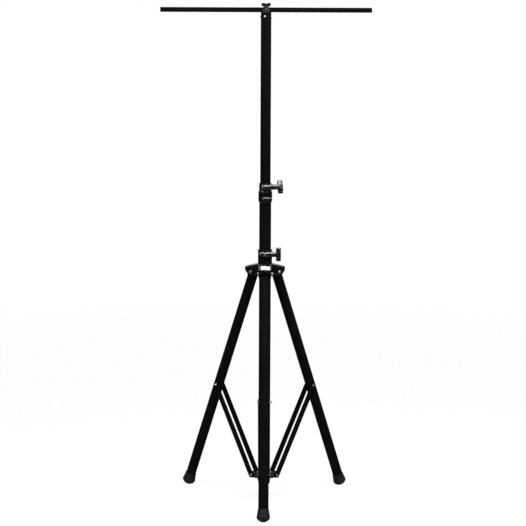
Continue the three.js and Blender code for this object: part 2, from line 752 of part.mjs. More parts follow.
function tbarHead() {
  const spigot = upperTubeRadius - mastTubeWall - gap;
  const base = upperTubeTop + gap;
  const body = turned([
    [0, base], [headSpigotBore, base], [headSpigotBore, base - headSpigot], [spigot, base - headSpigot],
    [spigot, base], [upperTubeRadius, base], [upperTubeRadius, windowFloor],
    ...domeOutline(), [headTopRadius, headTop], [0, headTop],
  ], tubeSides);
  const side = barSide + gap + gap;
  const window = block(upperTubeRadius * 4, side, windowFloor, windowTop);
  const thread = bar(wingScrewHole, windowTop - overrun, headTop + overrun, smallSides);
  const holes = headScrewPlaces().map((turn) => radialHole(upperTubeRadius, turn)
    .translate(0, 0, upperTubeTop - headScrewDrop));
  return cut(body, window, thread, ...holes);
}

// The dome's side, an eased curve from the tube's outside up to the roof over the window
function domeOutline() {
  const points = [];
  for (let i = 1; i <= curveSteps; i += 1) {
    const share = i / curveSteps;
    const ease = 1 - Math.cos(share * Math.PI / 2);
    points.push([
      upperTubeRadius + (headCheekRadius - upperTubeRadius) * ease,
      windowFloor + (windowTop - windowFloor) * share,
    ]);
  }
  return points;
}

// Cross bar and its end caps

function barTube() {
  const half = barSide / 2;
  const inner = half - barWall;
  const length = barLength - barCapFlange - barCapFlange - gap - gap;
  const shape = roundedRectangle(half, half, barCorner);
  shape.holes.push(roundedRectangle(inner, inner, barCorner / 2));
  return new THREE.ExtrudeGeometry(shape, { depth: length, bevelEnabled: false, curveSegments: 3 })
    .rotateY(Math.PI / 2).translate(-length / 2, 0, barCentre);
}

function barCap(side) {
  const half = barSide / 2;
  const inner = half - barWall - gap;
  const face = barLength / 2 - barCapFlange;
  const flange = new THREE.ExtrudeGeometry(roundedRectangle(half, half, barCorner), {
    depth: barCapFlange, bevelEnabled: false, curveSegments: 3,
  }).translate(0, 0, face);
  const spigot = new THREE.ExtrudeGeometry(roundedRectangle(inner, inner, barCorner / 2), {
    depth: barCapDepth, bevelEnabled: false, curveSegments: 3,
  }).translate(0, 0, face + gap - barCapDepth);
  return join(flange, spigot).rotateY(side * Math.PI / 2).translate(0, 0, barCentre);
}

// Wing knob over the head, and its screw

function wingKnob() {
  const half = wingSpan / 2 - wingBevel;
  const high = wingHeight - wingBevel;
  const low = wingBevel;
  const lobe = half - wingCorner;
  const shape = new THREE.Shape();
  shape.moveTo(lobe, low);
  shape.quadraticCurveTo(half, low, half, (low + high) / 2);
  shape.quadraticCurveTo(half, high, lobe, high);
  shape.quadraticCurveTo(lobe / 2, high, 0, high - wingSaddle);
  shape.quadraticCurveTo(-lobe / 2, high, -lobe, high);
  shape.quadraticCurveTo(-half, high, -half, (low + high) / 2);
  shape.quadraticCurveTo(-half, low, -lobe, low);
  const depth = wingThickness - wingBevel - wingBevel;
  const wings = new THREE.ExtrudeGeometry(shape, {
    depth, bevelThickness: wingBevel, bevelSize: wingBevel, bevelSegments: 2, curveSegments: 3,
  }).rotateX(Math.PI / 2).translate(0, depth / 2, headTop + gap + wingNeck);
  const hub = bar(wingNeckRadius, headTop + gap, headTop + gap + wingNeck + wingHeight / 2, smallSides + smallSides / 2);
  const seat = bar(wingScrewRadius + gap, headTop, headTop + gap + wingScrewDepth, smallSides);
  return cut(join(wings, hub), seat);
}

function wingScrew() {
  return bar(wingScrewRadius, windowTop, headTop + wingScrewDepth, smallSides);
}

// Putting the stand together

function putMast() {
  put(stand, 'lower_mast_tube', lowerTube(), blackPaint);
  put(stand, 'mast_foot_plug', footPlug(), blackPlastic);
  put(stand, 'spreader_bracket', spreaderBracket(), blackCasting);
  gapTurns.forEach((turn, i) => put(stand, `spreader_screw_${i + 1}`, radialScrew(spreaderCoreRadius, turn)
    .translate(0, 0, spreaderPivotHeight + spreaderScrewRise), brightZinc));

  const collar = group(stand, collarTurn);
  put(collar, 'mast_collar', mastCollar(), blackCasting);
  put(collar, 'mast_collar_liner', mastLiner(), darkNylon);
  const clampHeight = collarBottom + mastClampRise;
  const pinchHeight = collarBottom + pinchRise;
  const headFace = -earHalf - gap;
  const knobRoot = earHalf + gap;
  put(collar, 'mast_clamp_bolt', boltAcross(clampBolt, headFace, knobRoot + knobScrewDepth)
    .translate(0, -mastClampRadius, clampHeight), brightZinc);
  putKnob(collar, 'mast_knob', knobRoot, -mastClampRadius, clampHeight, -mastKnobTurn);
  put(collar, 'mast_pinch_bolt', boltAcross(pinchBolt, -pinchEarHalf - gap, pinchEarHalf + boltEnd)
    .translate(0, -pinchRadius, pinchHeight), brightZinc);
}

function putHub() {
  put(stand, 'leg_hub', hubCasting(), blackCasting);
  put(stand, 'leg_hub_liner', hubLiner(), darkNylon);
  const clampHeight = hubPivotHeight + hubClampRise;
  const knobRoot = hubEarShift + earHalf + gap;
  put(stand, 'hub_clamp_bolt', boltAcross(clampBolt, hubEarShift - earHalf - gap, knobRoot + knobScrewDepth)
    .translate(0, -hubClampRadius, clampHeight), brightZinc);
  putKnob(stand, 'hub_knob', knobRoot, -hubClampRadius, clampHeight, -hubKnobTurn);
}

function putLeg(side, turn) {
  const azimuth = group(stand, turn);
  const face = armHalfWidth + gap;
  put(azimuth, `${side}_leg_pivot_bolt`, boltAcross(pivotBolt, -face, face + nutHeight + boltEnd)
    .translate(0, -hubPivotRadius, hubPivotHeight), brightZinc);
  put(azimuth, `${side}_leg_pivot_nut`, nutAcross(pivotBolt, face)
    .translate(0, -hubPivotRadius, hubPivotHeight), brightZinc);

  const leg = group(azimuth);
  leg.position.set(0, -hubPivotRadius, hubPivotHeight);
  leg.rotation.x = -legAngle;
  put(leg, `${side}_leg_tube`, legTube(), blackPaint);
  put(leg, `${side}_leg_top_plug`, legPlug(), blackPlastic);
  put(leg, `${side}_foot`, foot(), blackRubber);
  const strutFace = stripOuter + gap;
  put(leg, `${side}_strut_bolt`, boltAcross(strutBolt, -strutFace, strutFace + thinNutHeight + longBoltEnd)
    .translate(0, 0, -strutPivotDistance), brightZinc);
  put(leg, `${side}_strut_nut`, nutAcross(strutBolt, strutFace, thinNutHeight)
    .translate(0, 0, -strutPivotDistance), brightZinc);

  const strut = group(azimuth);
  strut.position.set(0, -strutPivotRadius, strutPivotHeight);
  strut.rotation.x = strutAngle;
  put(strut, `${side}_strut_strip_a`, strip(-stripOuter, -stripInner), blackPaint);
  put(strut, `${side}_strut_strip_b`, strip(stripInner, stripOuter), blackPaint);
  put(strut, `${side}_strut_rivet_a`, strutRivet().rotateZ(Math.PI).translate(0, 0, -strutLength), brightZinc);
  put(strut, `${side}_strut_rivet_b`, strutRivet().translate(0, 0, -strutLength), brightZinc);
}

function putUpperMast() {
  put(stand, 'guide_bush', guideBush(), darkNylon);
  put(stand, 'upper_mast_tube', upperTube(), blackPaint);
  put(stand, 'tbar_head', tbarHead(), blackCasting);
  headScrewPlaces().forEach((turn, i) => put(stand, `head_screw_${i + 1}`, radialScrew(upperTubeRadius, turn)
    .translate(0, 0, upperTubeTop - headScrewDrop), brightZinc));
  put(stand, 'tbar_tube', barTube(), blackPaint);
  put(stand, 'tbar_cap_left', barCap(-1), blackPlastic);
  put(stand, 'tbar_cap_right', barCap(1), blackPlastic);
  const wing = group(stand, wingTurn);
  put(wing, 'head_knob', wingKnob(), blackPlastic);
  put(wing, 'head_knob_screw', wingScrew(), brightZinc);
}

putMast();
putHub();
for (const [side, turn] of Object.entries(legTurns)) putLeg(side, turn);
putUpperMast();

// One leg reaches forwards and two reach backwards, so the mast stands a little behind the middle
stand.updateMatrixWorld(true);
const reach = new THREE.Box3().setFromObject(stand, true);
stand.position.y = -(reach.min.y + reach.max.y) / 2;
stand.updateMatrixWorld(true);

export default stand;
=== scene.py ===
"""A folding lighting stand with a cross bar on its mast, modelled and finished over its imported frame."""

import json
import math

import bpy
from mathutils import Matrix, Vector


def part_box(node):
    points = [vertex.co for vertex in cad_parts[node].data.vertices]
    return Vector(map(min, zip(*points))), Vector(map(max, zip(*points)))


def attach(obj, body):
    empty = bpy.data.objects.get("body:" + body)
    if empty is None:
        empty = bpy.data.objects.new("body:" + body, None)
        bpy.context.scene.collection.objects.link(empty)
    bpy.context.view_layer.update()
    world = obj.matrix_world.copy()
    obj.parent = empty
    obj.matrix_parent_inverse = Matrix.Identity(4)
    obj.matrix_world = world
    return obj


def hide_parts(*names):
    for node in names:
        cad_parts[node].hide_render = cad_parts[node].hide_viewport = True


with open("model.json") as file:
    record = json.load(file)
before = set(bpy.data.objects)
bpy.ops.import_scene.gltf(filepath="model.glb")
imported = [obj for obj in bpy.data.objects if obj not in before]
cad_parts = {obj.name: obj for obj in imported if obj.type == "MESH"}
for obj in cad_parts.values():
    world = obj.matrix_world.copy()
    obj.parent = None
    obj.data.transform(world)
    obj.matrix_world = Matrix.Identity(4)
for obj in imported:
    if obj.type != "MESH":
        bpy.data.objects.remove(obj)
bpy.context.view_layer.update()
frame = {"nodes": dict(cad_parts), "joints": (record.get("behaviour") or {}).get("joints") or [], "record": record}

bl_info = {
    "name": "Lighting Stand",
    "version": (1, 0, 0),
    "blender": (4, 5, 0),
    "location": "View3D > Sidebar > Stand",
    "description": "Builds a folding three-legged lighting stand with a telescoping mast and a cross bar",
    "category": "Add Mesh",
}

# Fineness and fits, in metres
GAP = 0.0003
OVERRUN = 0.002
MERGE = 0.000005
SEED = 0.001
FINE_SIDES = 96
ROUND_SIDES = 64
SMALL_SIDES = 32
HEX_SIDES = 6
ARC_STEPS = 6

# Smooth shading reaches over turns below the first angle, and edges are rounded above the others
SMOOTH_ANGLE = math.radians(32)
EDGE_ANGLE = math.radians(28)
COLLAR_EDGE_ANGLE = math.radians(15)
HEAD_EDGE_ANGLE = math.radians(25)
ARM_EDGE_ANGLE = math.radians(35)
FLUTE_EDGE_ANGLE = math.radians(40)
FLAT_EDGE_ANGLE = math.radians(50)

# Roundings as shares of the sizes that carry them
EAR_EDGE_SHARE = 0.13
HUB_RIM_SHARE = 0.6
SHAFT_EDGE_SHARE = 0.3
BOLT_DOME_SHARE = 0.9
BOLT_CROWN_SHARE = 0.45
SCREW_CROWN_SHARE = 0.9
RECESS_FLOOR_SHARE = 0.35

# Noises: the middle where most of their values lie, and the scales that all finishes share
NOISE_LOW, NOISE_HIGH = 0.3, 0.7
FINE_SCALE = 210.0
SPECK_SCALE = 320.0
PATCH_SCALE = 24.0
RUB_SCALE = 1400.0
RUB_PATCH_SCALE = 9.0
RUB_STRETCH = 0.04
CLOUD_SHARE = 0.6
FINE_RELIEF_SHARE = 0.5
RELIEF_DEPTH = 0.00004
DUST_FACING = (0.15, 0.95)
DUST_ROUGHNESS = 0.3

# Castings and mouldings on the head are duller than those that hands and clamps polish
DULL_MARGIN = 0.05
DULL_DEPTH = 0.1
DULL_SPECULAR = 0.12
DULL_ROUGHNESS = 0.55

# Distances in metres over which the floor turns white by itself and shows in gloss
WHITE_FLOOR = (1.0, 4.0)
GLOSS_FLOOR = (2.0, 5.0)

# The Y of a direction over which the pale room behind the stand comes to show in gloss
BEHIND_ON_FLOOR = (0.85, 0.99)
BEHIND_IN_ROOM = (0.5, 0.95)

FLOOR_SIZE = 200.0
SENSOR_WIDTH = 36.0
CLIP_END = 400.0

ROOT_THREE = math.sqrt(3)
SIDES = ("front", "right", "left")
HANDS = (("left", -1), ("right", 1))
CORNERS = ((1, 1), (-1, 1), (-1, -1), (1, -1))


# Sizes and colours that a user would change

def length(name, description, default):
    return bpy.props.FloatProperty(name=name, description=description, default=default, precision=5,
                                   unit="LENGTH", subtype="DISTANCE")


def angle(name, description, degrees):
    return bpy.props.FloatProperty(name=name, description=description, default=math.radians(degrees),
                                   unit="ROTATION", subtype="ANGLE")


def amount(name, description, default):
    return bpy.props.FloatProperty(name=name, description=description, default=default, precision=4)


def spot(name, description, default):
    return bpy.props.FloatVectorProperty(name=name, description=description, default=default, size=3,
                                         unit="LENGTH", subtype="TRANSLATION")


def colour(name, description, default):
    return bpy.props.FloatVectorProperty(name=name, description=description, default=default, size=3,
                                         min=0.0, max=1.0, subtype="COLOR")


class MastSizes(bpy.types.PropertyGroup):
    lower_radius: length("Lower tube radius", "Outside of the fixed lower tube", 0.020)
    upper_radius: length("Upper tube radius", "Outside of the sliding upper tube", 0.0175)
    wall: length("Tube wall", "Thickness of both tubes", 0.0015)
    lip: length("Tube lip", "Rounding of the tubes' cut ends", 0.0004)
    plug_flange: length("Plug flange", "Visible height of the bottom plug", 0.0025)
    plug_depth: length("Plug depth", "Length of the bottom plug inside the tube", 0.015)
    collar_lower: length("Collar lower radius", "Outside of the collar's socket", 0.0233)
    collar_upper: length("Collar upper radius", "Outside of the collar's split clamp", 0.021)
    collar_mouth: length("Collar mouth radius", "Outside of the collar's tapered lower rim", 0.0212)
    collar_taper: length("Collar taper", "Height of the tapered rim", 0.006)
    collar_step: length("Collar step", "Height of the shoulder under the clamp", 0.003)
    collar_socket: length("Collar socket", "Height of the socket's outside", 0.0365)
    socket_depth: length("Socket depth", "How far the lower tube goes into the collar", 0.033)
    liner_radius: length("Liner radius", "Outside of the liner in the clamp", 0.0188)
    liner_lip: length("Liner lip", "Height of the liner's lip over the clamp", 0.002)
    liner_reach: length("Liner lip reach", "How far the lip stands out past the liner", 0.0028)
    liner_edge: length("Liner edge", "Rounding of both liners' edges", 0.0004)
    slot: length("Clamp gap", "Width of the gap in both clamps", 0.003)
    ear_radius: length("Ear radius", "Radius of the bosses across the gap", 0.0087)
    ear_half: length("Ear half length", "Half the length of the two bosses together", 0.0155)
    ear_reach: length("Ear reach", "From the mast's centre line to the clamp bolt", 0.026)
    pinch_radius: length("Lower ear radius", "Radius of the bosses of the lower bolt", 0.0063)
    pinch_half: length("Lower ear half length", "Half the length of the lower bosses", 0.0144)
    pinch_reach: length("Lower ear reach", "From the mast's centre line to the lower bolt", 0.0265)
    pinch_rise: length("Lower ear rise", "Height of the lower bolt over the collar's foot", 0.0145)


class HubSizes(bpy.types.PropertyGroup):
    core: length("Core radius", "Outside of the hub's collar", 0.024)
    bore: length("Bore radius", "Bore that slides on the lower tube", 0.0206)
    liner_radius: length("Liner radius", "Outside of the hub's liner", 0.0216)
    liner_length: length("Liner length", "Length of the liner in the collar", 0.035)
    liner_lip: length("Liner lip", "Height of the liner's lip", 0.0022)
    liner_reach: length("Liner lip reach", "How far the lip stands out", 0.0034)
    drop: length("Hub drop", "From the leg pivots down to the hub's foot", 0.011)
    top: length("Hub top", "From the leg pivots up to the collar's top", 0.0744)
    slot_foot: length("Gap foot", "Lower end of the clamp's gap over the pivots", 0.042)
    ear_reach: length("Ear reach", "From the mast's centre line to the clamp bolt", 0.028)
    ear_shift: length("Ear shift", "How much farther the bosses reach on the knob's side", 0.0011)
    arm_half: length("Arm half width", "Half the width of an arm", 0.0217)
    cheek: length("Arm cheek", "Wall of an arm's channel", 0.0038)
    arm_root: length("Arm root", "Height of the arm's crown where it leaves the collar", 0.031)
    arm_slope: angle("Arm slope", "Fall of an arm's top", 14.5)
    arm_crown: length("Arm crown", "How much higher the arm's middle is than its edges", 0.0045)
    arm_reach: length("Arm reach", "From the mast's centre line to the arm's end", 0.0695)
    nose_height: length("Nose height", "Height of the arm's farthest point over the pivots", 0.0095)
    nose_round: length("Nose rounding", "How far the rounding of the nose reaches back", 0.011)
    nose_corner: length("Nose corner", "Rounding of the nose as seen from above", 0.008)
    arch_top: length("Arch top", "Top of the arch over the leg, above the pivots", 0.0062)
    arch_foot: length("Arch foot", "Where the arch begins at the arm's cheeks", 0.0004)
    undercut_reach: length("Undercut reach", "Where the arm's undercut begins", 0.056)
    undercut_height: length("Undercut height", "Lower end of the undercut below the pivots", 0.007)
    edge: length("Casting edge", "Rounding of the casting's edges", 0.0014)
    # The white patch on the front arm is a painted highlight: a thin white sheet on the arm's top, where it slopes
    # towards the front
    highlight_patch_half: length("Plate half width", "Half the width of the blank plate on the front arm", 0.0156)
    highlight_patch_shift: length("Plate shift", "How far the plate lies to the right of the arm's middle", 0.0014)
    highlight_patch_start: length("Plate start", "Where the blank plate begins, from the centre line", 0.0425)
    highlight_patch_end: length("Plate end", "Where the blank plate ends, from the centre line", 0.0657)
    highlight_patch_thickness: length("Plate thickness", "Thickness of the blank plate", 0.0005)
    highlight_patch_lift: length("Plate glue", "Thickness of the glue under the blank plate", 0.0001)


class KnobSizes(bpy.types.PropertyGroup):
    shaft: length("Knob shaft", "Length of a T-knob's shaft", 0.020)
    shaft_radius: length("Shaft radius", "Radius of the shaft's foot", 0.0095)
    waist: length("Shaft waist", "Radius of the shaft's middle", 0.009)
    handle: length("Handle length", "Length of a T-knob's handle", 0.046)
    axial: length("Handle width", "Width of the handle along the clamp's axis", 0.0167)
    belly: length("Handle middle", "Thickness of the handle's middle", 0.0175)
    tip: length("Handle tip", "Thickness of the handle near its ends", 0.0105)
    corner: length("Handle corner", "Rounding of the handle's ends", 0.0075)
    edge: length("Handle edge", "Rounding of the handle's edges", 0.0024)
    screw: length("Screw depth", "Length of the clamp bolt inside the knob", 0.012)
    mast_turn: angle("Mast knob turn", "How the mast's knob stands at rest", -18)
    hub_turn: angle("Hub knob turn", "How the hub's knob stands at rest", -4)
    wing_turn: angle("Wing knob turn", "How the wing knob stands at rest", 28)
    wing_span: length("Wing span", "Width of the wing knob", 0.033)
    wing_height: length("Wing height", "Height of the wing knob's lobes", 0.0108)
    wing_saddle: length("Wing saddle", "How far the wing knob's middle dips", 0.003)
    wing_thickness: length("Wing thickness", "Thickness of the wing knob", 0.008)
    wing_corner: length("Wing corner", "Rounding of the wing knob's lobes", 0.0048)
    wing_edge: length("Wing edge", "Rounding of the wing knob's edges", 0.0016)
    wing_neck: length("Wing neck", "Radius of the wing knob's neck", 0.0088)
    wing_bore: length("Wing bore", "Radius of the hole for the wing knob's screw", 0.0043)


class LegSizes(bpy.types.PropertyGroup):
    radius: length("Leg radius", "Outside of a leg tube", 0.017)
    wall: length("Leg wall", "Thickness of a leg tube", 0.0015)
    lip: length("Leg lip", "Rounding of a leg tube's cut ends", 0.0004)
    headroom: length("Leg headroom", "Tube above its pivot on the hub", 0.005)
    plug_cap: length("Plug cap", "Height of the plug over the leg tube", 0.0022)
    plug_depth: length("Plug depth", "Length of the plug in the leg tube", 0.022)
    plug_edge: length("Plug edge", "Rounding of the plug's edges", 0.0005)
    dome: length("Foot dome", "Radius of the foot's domed sole", 0.025)
    rim: length("Foot rim", "Radius of the foot's rim", 0.0223)
    top: length("Foot top", "Radius of the foot's top band", 0.0187)
    height: length("Foot height", "From the rim to the foot's top edge", 0.0286)
    band: length("Foot top band", "Height of the plain band at the top", 0.0032)
    rim_band: length("Foot rim band", "Height of the rim", 0.002)
    sole: length("Foot sole", "Rubber under the end of the tube", 0.014)
    foot_edge: length("Foot edge", "Rounding of the foot's turned edges", 0.0007)
    ground_cut: length("Ground flat", "Depth of the flat that the foot stands on", 0.0006)
    flutes: bpy.props.IntProperty(name="Flutes", description="Grooves round a foot", default=12)
    flute_radius: length("Flute radius", "Radius of a groove", 0.0031)
    flute_length: length("Flute length", "Length of a groove between its round ends", 0.0165)
    flute_rise: length("Flute rise", "From the rim up to a groove's lower end", 0.0034)
    flute_lean: angle("Flute lean", "Lean of the grooves towards the tube", 3.5)
    flute_edge: length("Flute edge", "Rounding of a groove's edges", 0.0003)
    flute_out_share: amount("Flute reach", "A groove's middle outside the rim, against its radius", 0.42)
    strip_half: length("Strip half width", "Half the width of a strut's strip", 0.0095)
    strip_inner: length("Strip inner face", "From the strut's middle to a strip's inner face", 0.0184)
    strip_thickness: length("Strip thickness", "Thickness of a strut's strip", 0.002)
    strip_edge: length("Strip edge", "Rounding of a strip's edges", 0.0003)


class HeadSizes(bpy.types.PropertyGroup):
    shoulder: length("Head shoulder", "Height of the head under its window", 0.0037)
    spigot: length("Head spigot", "Length of the head inside the tube", 0.032)
    spigot_bore: length("Spigot bore", "Radius of the hollow in the spigot", 0.011)
    roof: length("Head roof", "Thickness over the window", 0.0022)
    roof_radius: length("Roof radius", "Radius of the head's flat top", 0.0096)
    cheek_radius: length("Cheek radius", "Radius of the head at the window's top", 0.0109)
    bar_side: length("Bar side", "Side of the square cross bar", 0.016)
    bar_corner: length("Bar corner", "Rounding of the bar's edges", 0.0016)
    bar_wall: length("Bar wall", "Thickness of the bar's wall", 0.0015)
    cap_flange: length("Cap flange", "Visible thickness of an end cap", 0.0012)
    cap_depth: length("Cap depth", "Length of an end cap inside the bar", 0.014)


class BracketSizes(bpy.types.PropertyGroup):
    core: length("Core radius", "Outside of the bracket's ring", 0.0245)
    drop: length("Bracket drop", "From the rivets down to the bracket's foot", 0.009)
    rise: length("Bracket rise", "From the rivets up to the bracket's top", 0.0115)
    half: length("Arm half width", "Half the width of an arm", 0.0181)
    nose: length("Arm nose", "How far an arm reaches past its rivets", 0.0085)
    wall: length("Arm wall", "Wall of an arm", 0.0032)


class FastenerSizes(bpy.types.PropertyGroup):
    clamp_shank: length("Clamp bolt", "Radius of a clamp bolt", 0.003)
    clamp_flats: length("Clamp bolt head", "Half the width across the flats", 0.005)
    clamp_head: length("Clamp bolt head height", "Height of the head", 0.004)
    pinch_shank: length("Lower bolt", "Radius of the collar's lower bolt", 0.0025)
    pinch_flats: length("Lower bolt head", "Half the width across the flats", 0.004)
    pinch_head: length("Lower bolt head height", "Height of the head", 0.0034)
    strut_flats: length("Strut bolt head", "Half the width across the flats", 0.0042)
    strut_head: length("Strut bolt head height", "Height of the head", 0.0018)
    nut: length("Nut height", "Height of a pivot's nut", 0.0045)
    thin_nut: length("Thin nut height", "Height of a strut bolt's nut", 0.0022)
    bolt_end: length("Bolt end", "Thread showing past a nut", 0.0015)
    long_bolt_end: length("Long bolt end", "Thread showing past a strut bolt's nut", 0.0045)
    pitch: length("Thread pitch", "Pitch of the threads", 0.0009)
    rivet_radius: length("Rivet radius", "Radius of a rivet's shank", 0.0025)
    rivet_head: length("Rivet head", "Radius of a rivet's head", 0.0044)
    rivet_height: length("Rivet head height", "Height of a rivet's head", 0.0016)
    screw_radius: length("Screw radius", "Radius of a screw's shank", 0.002)
    screw_head: length("Screw head", "Radius of a screw's head", 0.0036)
    screw_height: length("Screw head height", "Height of a screw's head", 0.002)
    screw_depth: length("Screw depth", "Length of a screw under its head", 0.007)
    recess: length("Screw recess", "Half the length of the cross in a screw's head", 0.0019)


class StageSettings(bpy.types.PropertyGroup):
    distance: length("Camera distance", "From the mast to the camera", 6.0)
    height: length("Camera height", "Height of the camera over the floor", 1.73355)
    sideways: length("Camera sideways", "How far the camera stands to the right", 0.0333)
    pitch: angle("Camera pitch", "How far the camera looks down", 8.7302)
    yaw: angle("Camera yaw", "Turn of the camera to the left", 0.382)
    roll: angle("Camera roll", "Turn of the camera about its view", 0.25)
    focal: amount("Focal length", "Focal length of the lens in millimetres", 123.0)
    key_start: spot("Overhead front", "Front of the overhead lamp, from the mast's foot", (0.3, -1.9, 3.0))
    key_end: spot("Overhead back", "Back of the overhead lamp, from the mast's foot", (0.3, 0.9, 3.3))
    key_width: length("Overhead width", "Width of the lamp over the stand", 1.5)
    key_power: amount("Overhead power", "Power of the lamp over the stand in watts", 120.0)
    fill_start: spot("Fill foot", "Foot of the right front lamp, from the mast's foot", (2.6, -3.0, 1.6))
    fill_end: spot("Fill top", "Top of the right front lamp, from the mast's foot", (2.6, -3.0, 3.2))
    fill_width: length("Fill width", "Width of each front lamp", 1.6)
    fill_power: amount("Fill power", "Power of each front lamp in watts", 15.0)
    side_start: spot("Side inner end", "Inner end of the right side lamp, as above", (1.9, -0.75, 3.4))
    side_end: spot("Side outer end", "Outer end of the right side lamp, as above", (2.7, -0.75, 2.6))
    side_width: length("Side lamp width", "Width of each side lamp", 1.2)
    side_power: amount("Side power", "Power of each lamp high at the sides in watts", 22.0)
    ambient: amount("Ambient light", "Strength of the dim light from all round", 0.15)
    gloom: amount("Dark surround", "Strength of the room's front as gloss reflects it", 0.04)
    near_share: amount("Near floor", "How much of the floor shows white by itself near the stand", 0.88)


class FinishColours(bpy.types.PropertyGroup):
    # The paint's cool blue cast is partly painted reflection: black powder paint, tinted bluish to stand in for
    # the blue reflection along the tubes
    paint: colour("Paint", "Powder paint of the tubes and strips", (0.0036, 0.0042, 0.0051))
    casting: colour("Casting", "Painted castings", (0.0046, 0.0049, 0.0058))
    plastic: colour("Plastic", "Moulded knobs, plugs and caps", (0.0062, 0.0062, 0.0066))
    rubber: colour("Rubber", "Rubber of the feet", (0.0088, 0.0100, 0.0135))
    nylon: colour("Nylon", "Liners and bush", (0.006, 0.006, 0.0065))
    zinc: colour("Zinc", "Plated bolts, nuts, screws and rivets", (0.66, 0.67, 0.68))
    # White of the front arm's patch, a painted highlight
    highlight_patch: colour("Plate", "Blank plate on the front arm", (0.86, 0.865, 0.87))
    dust: colour("Dust", "Faint dust on upward faces", (0.16, 0.15, 0.14))
    floor: colour("Floor", "Pale floor", (0.92, 0.92, 0.92))


GROUPS = {
    "stand_mast": MastSizes, "stand_hub": HubSizes, "stand_knobs": KnobSizes, "stand_legs": LegSizes,
    "stand_head": HeadSizes, "stand_bracket": BracketSizes, "stand_fasteners": FastenerSizes,
    "stand_stage": StageSettings, "stand_colours": FinishColours,
}


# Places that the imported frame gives

def middle(node):
    low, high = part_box(node)
    return (low + high) / 2


def joint_named(name):
    return next(joint for joint in frame["joints"] if joint["name"] == name)


def joint_point(name):
    return Vector(joint_named(name)["pos_m"])


def joint_place(name):
    """The place of a joint, turned so that X lies along its axis."""
    axis = joint_named(name)["axis"]
    return Matrix.Translation(joint_point(name)) @ Matrix.Rotation(math.atan2(axis[1], axis[0]), 4, "Z")


def mast_place(height, turn=0.0):
    """A place on the mast's centre line, whose -Y faces the front before its turn."""
    centre = middle("lower_mast_tube")
    return Matrix.Translation((centre.x, centre.y, height)) @ Matrix.Rotation(turn, 4, "Z")


def side_turn(side):
    axis = joint_named(side + "_leg_hinge")["axis"]
    return math.atan2(axis[1], axis[0])


HUB_HEIGHT = joint_point("front_leg_hinge").z
HUB_PIVOT_REACH = middle("lower_mast_tube").y - joint_point("front_leg_hinge").y
LEG_LINE = joint_point("front_strut_hinge") - joint_point("front_leg_hinge")
LEG_LEAN = math.atan2(-LEG_LINE.y, -LEG_LINE.z)
STRUT_DISTANCE = LEG_LINE.length
BRACKET_PIVOT = (middle("front_strut_rivet_a") + middle("front_strut_rivet_b")) / 2
BRACKET_REACH = middle("lower_mast_tube").y - BRACKET_PIVOT.y
STRUT_LINE = BRACKET_PIVOT - joint_point("front_strut_hinge")
STRUT_LEAN = math.atan2(STRUT_LINE.y, -STRUT_LINE.z)
STRUT_LENGTH = STRUT_LINE.length
COLLAR_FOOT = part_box("mast_collar")[0].z
COLLAR_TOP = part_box("mast_collar")[1].z
HEAD_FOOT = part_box("tbar_head")[0].z
COLLAR_TURN = math.atan2(*reversed(joint_named("mast_knob_turn")["axis"][:2]))
BODY_OF = {node: body for body, nodes in frame["record"]["behaviour"]["bodies"].items() for node in nodes}
BRACKET_SCREWS = [node for node in sorted(BODY_OF) if node.startswith("spreader_screw")]
HEAD_SCREWS = [node for node in sorted(BODY_OF) if node.startswith("head_screw")]
ALONG_X = Matrix.Rotation(math.pi / 2, 4, "Y")
OUTWARDS = Matrix.Rotation(math.pi / 2, 4, "X")


def leg_place(side):
    """A leg's own place: its pivot on the hub, with the leg along -Z."""
    return joint_place(side + "_leg_hinge") @ Matrix.Rotation(-LEG_LEAN, 4, "X")


def strut_place(side):
    """A strut's own place: its pivot on the leg, with the strips along -Z."""
    return joint_place(side + "_strut_hinge") @ Matrix.Rotation(STRUT_LEAN, 4, "X")


# Outlines

def arc(centre, radius, start, end, steps=ARC_STEPS):
    """Points on an arc, from one angle in degrees to another."""
    angles = [math.radians(start + (end - start) * i / steps) for i in range(steps + 1)]
    return [(centre[0] + radius * math.cos(a), centre[1] + radius * math.sin(a)) for a in angles]


def bend(start, handle, end, steps=ARC_STEPS):
    """Points on a curve that leaves start and reaches end, drawn towards its handle."""
    points = []
    for i in range(steps + 1):
        t = i / steps
        points.append(tuple((1 - t) ** 2 * a + 2 * t * (1 - t) * h + t ** 2 * b
                            for a, h, b in zip(start, handle, end)))
    return points


def rounded_box(half_width, half_height, corner):
    inner_width, inner_height = half_width - corner, half_height - corner
    return [point for quarter, (x, y) in enumerate(CORNERS)
            for point in arc((x * inner_width, y * inner_height), corner, quarter * 90, quarter * 90 + 90)]


# Modelling by hand: lines drawn vertex by vertex, spun, extruded, cut, joined and softened

def alone(piece=None):
    """Leave edit mode, with nothing selected but this piece."""
    if bpy.context.mode != "OBJECT":
        bpy.ops.object.mode_set(mode="OBJECT")
    bpy.ops.object.select_all(action="DESELECT")
    if piece:
        piece.select_set(True)
        bpy.context.view_layer.objects.active = piece


def drawn(name, points):
    """Draw a line through the points and stay in edit mode with all of it selected."""
    alone()
    bpy.ops.mesh.primitive_plane_add(size=SEED, location=(0, 0, 0))
    piece = bpy.context.object
    piece.name = piece.data.name = name
    bpy.ops.object.mode_set(mode="EDIT")
    bpy.ops.mesh.select_mode(type="VERT")
    bpy.ops.mesh.select_all(action="SELECT")
    bpy.ops.mesh.merge(type="CENTER")
    bpy.ops.transform.translate(value=points[0])
    for here, there in zip(points, points[1:]):
        step = Vector(there) - Vector(here)
        if step.length > MERGE:
            bpy.ops.mesh.extrude_vertices_move(TRANSFORM_OT_translate={"value": step})
    bpy.ops.mesh.select_all(action="SELECT")
    return piece


def closed(piece):
    """Merge what meets, turn all faces outwards and leave edit mode."""
    bpy.ops.mesh.select_all(action="SELECT")
    bpy.ops.mesh.remove_doubles(threshold=MERGE)
    bpy.ops.mesh.normals_make_consistent(inside=False)
    bpy.ops.object.mode_set(mode="OBJECT")
    if not piece.data.polygons:
        raise RuntimeError(piece.name + " came out with no faces")
    return piece


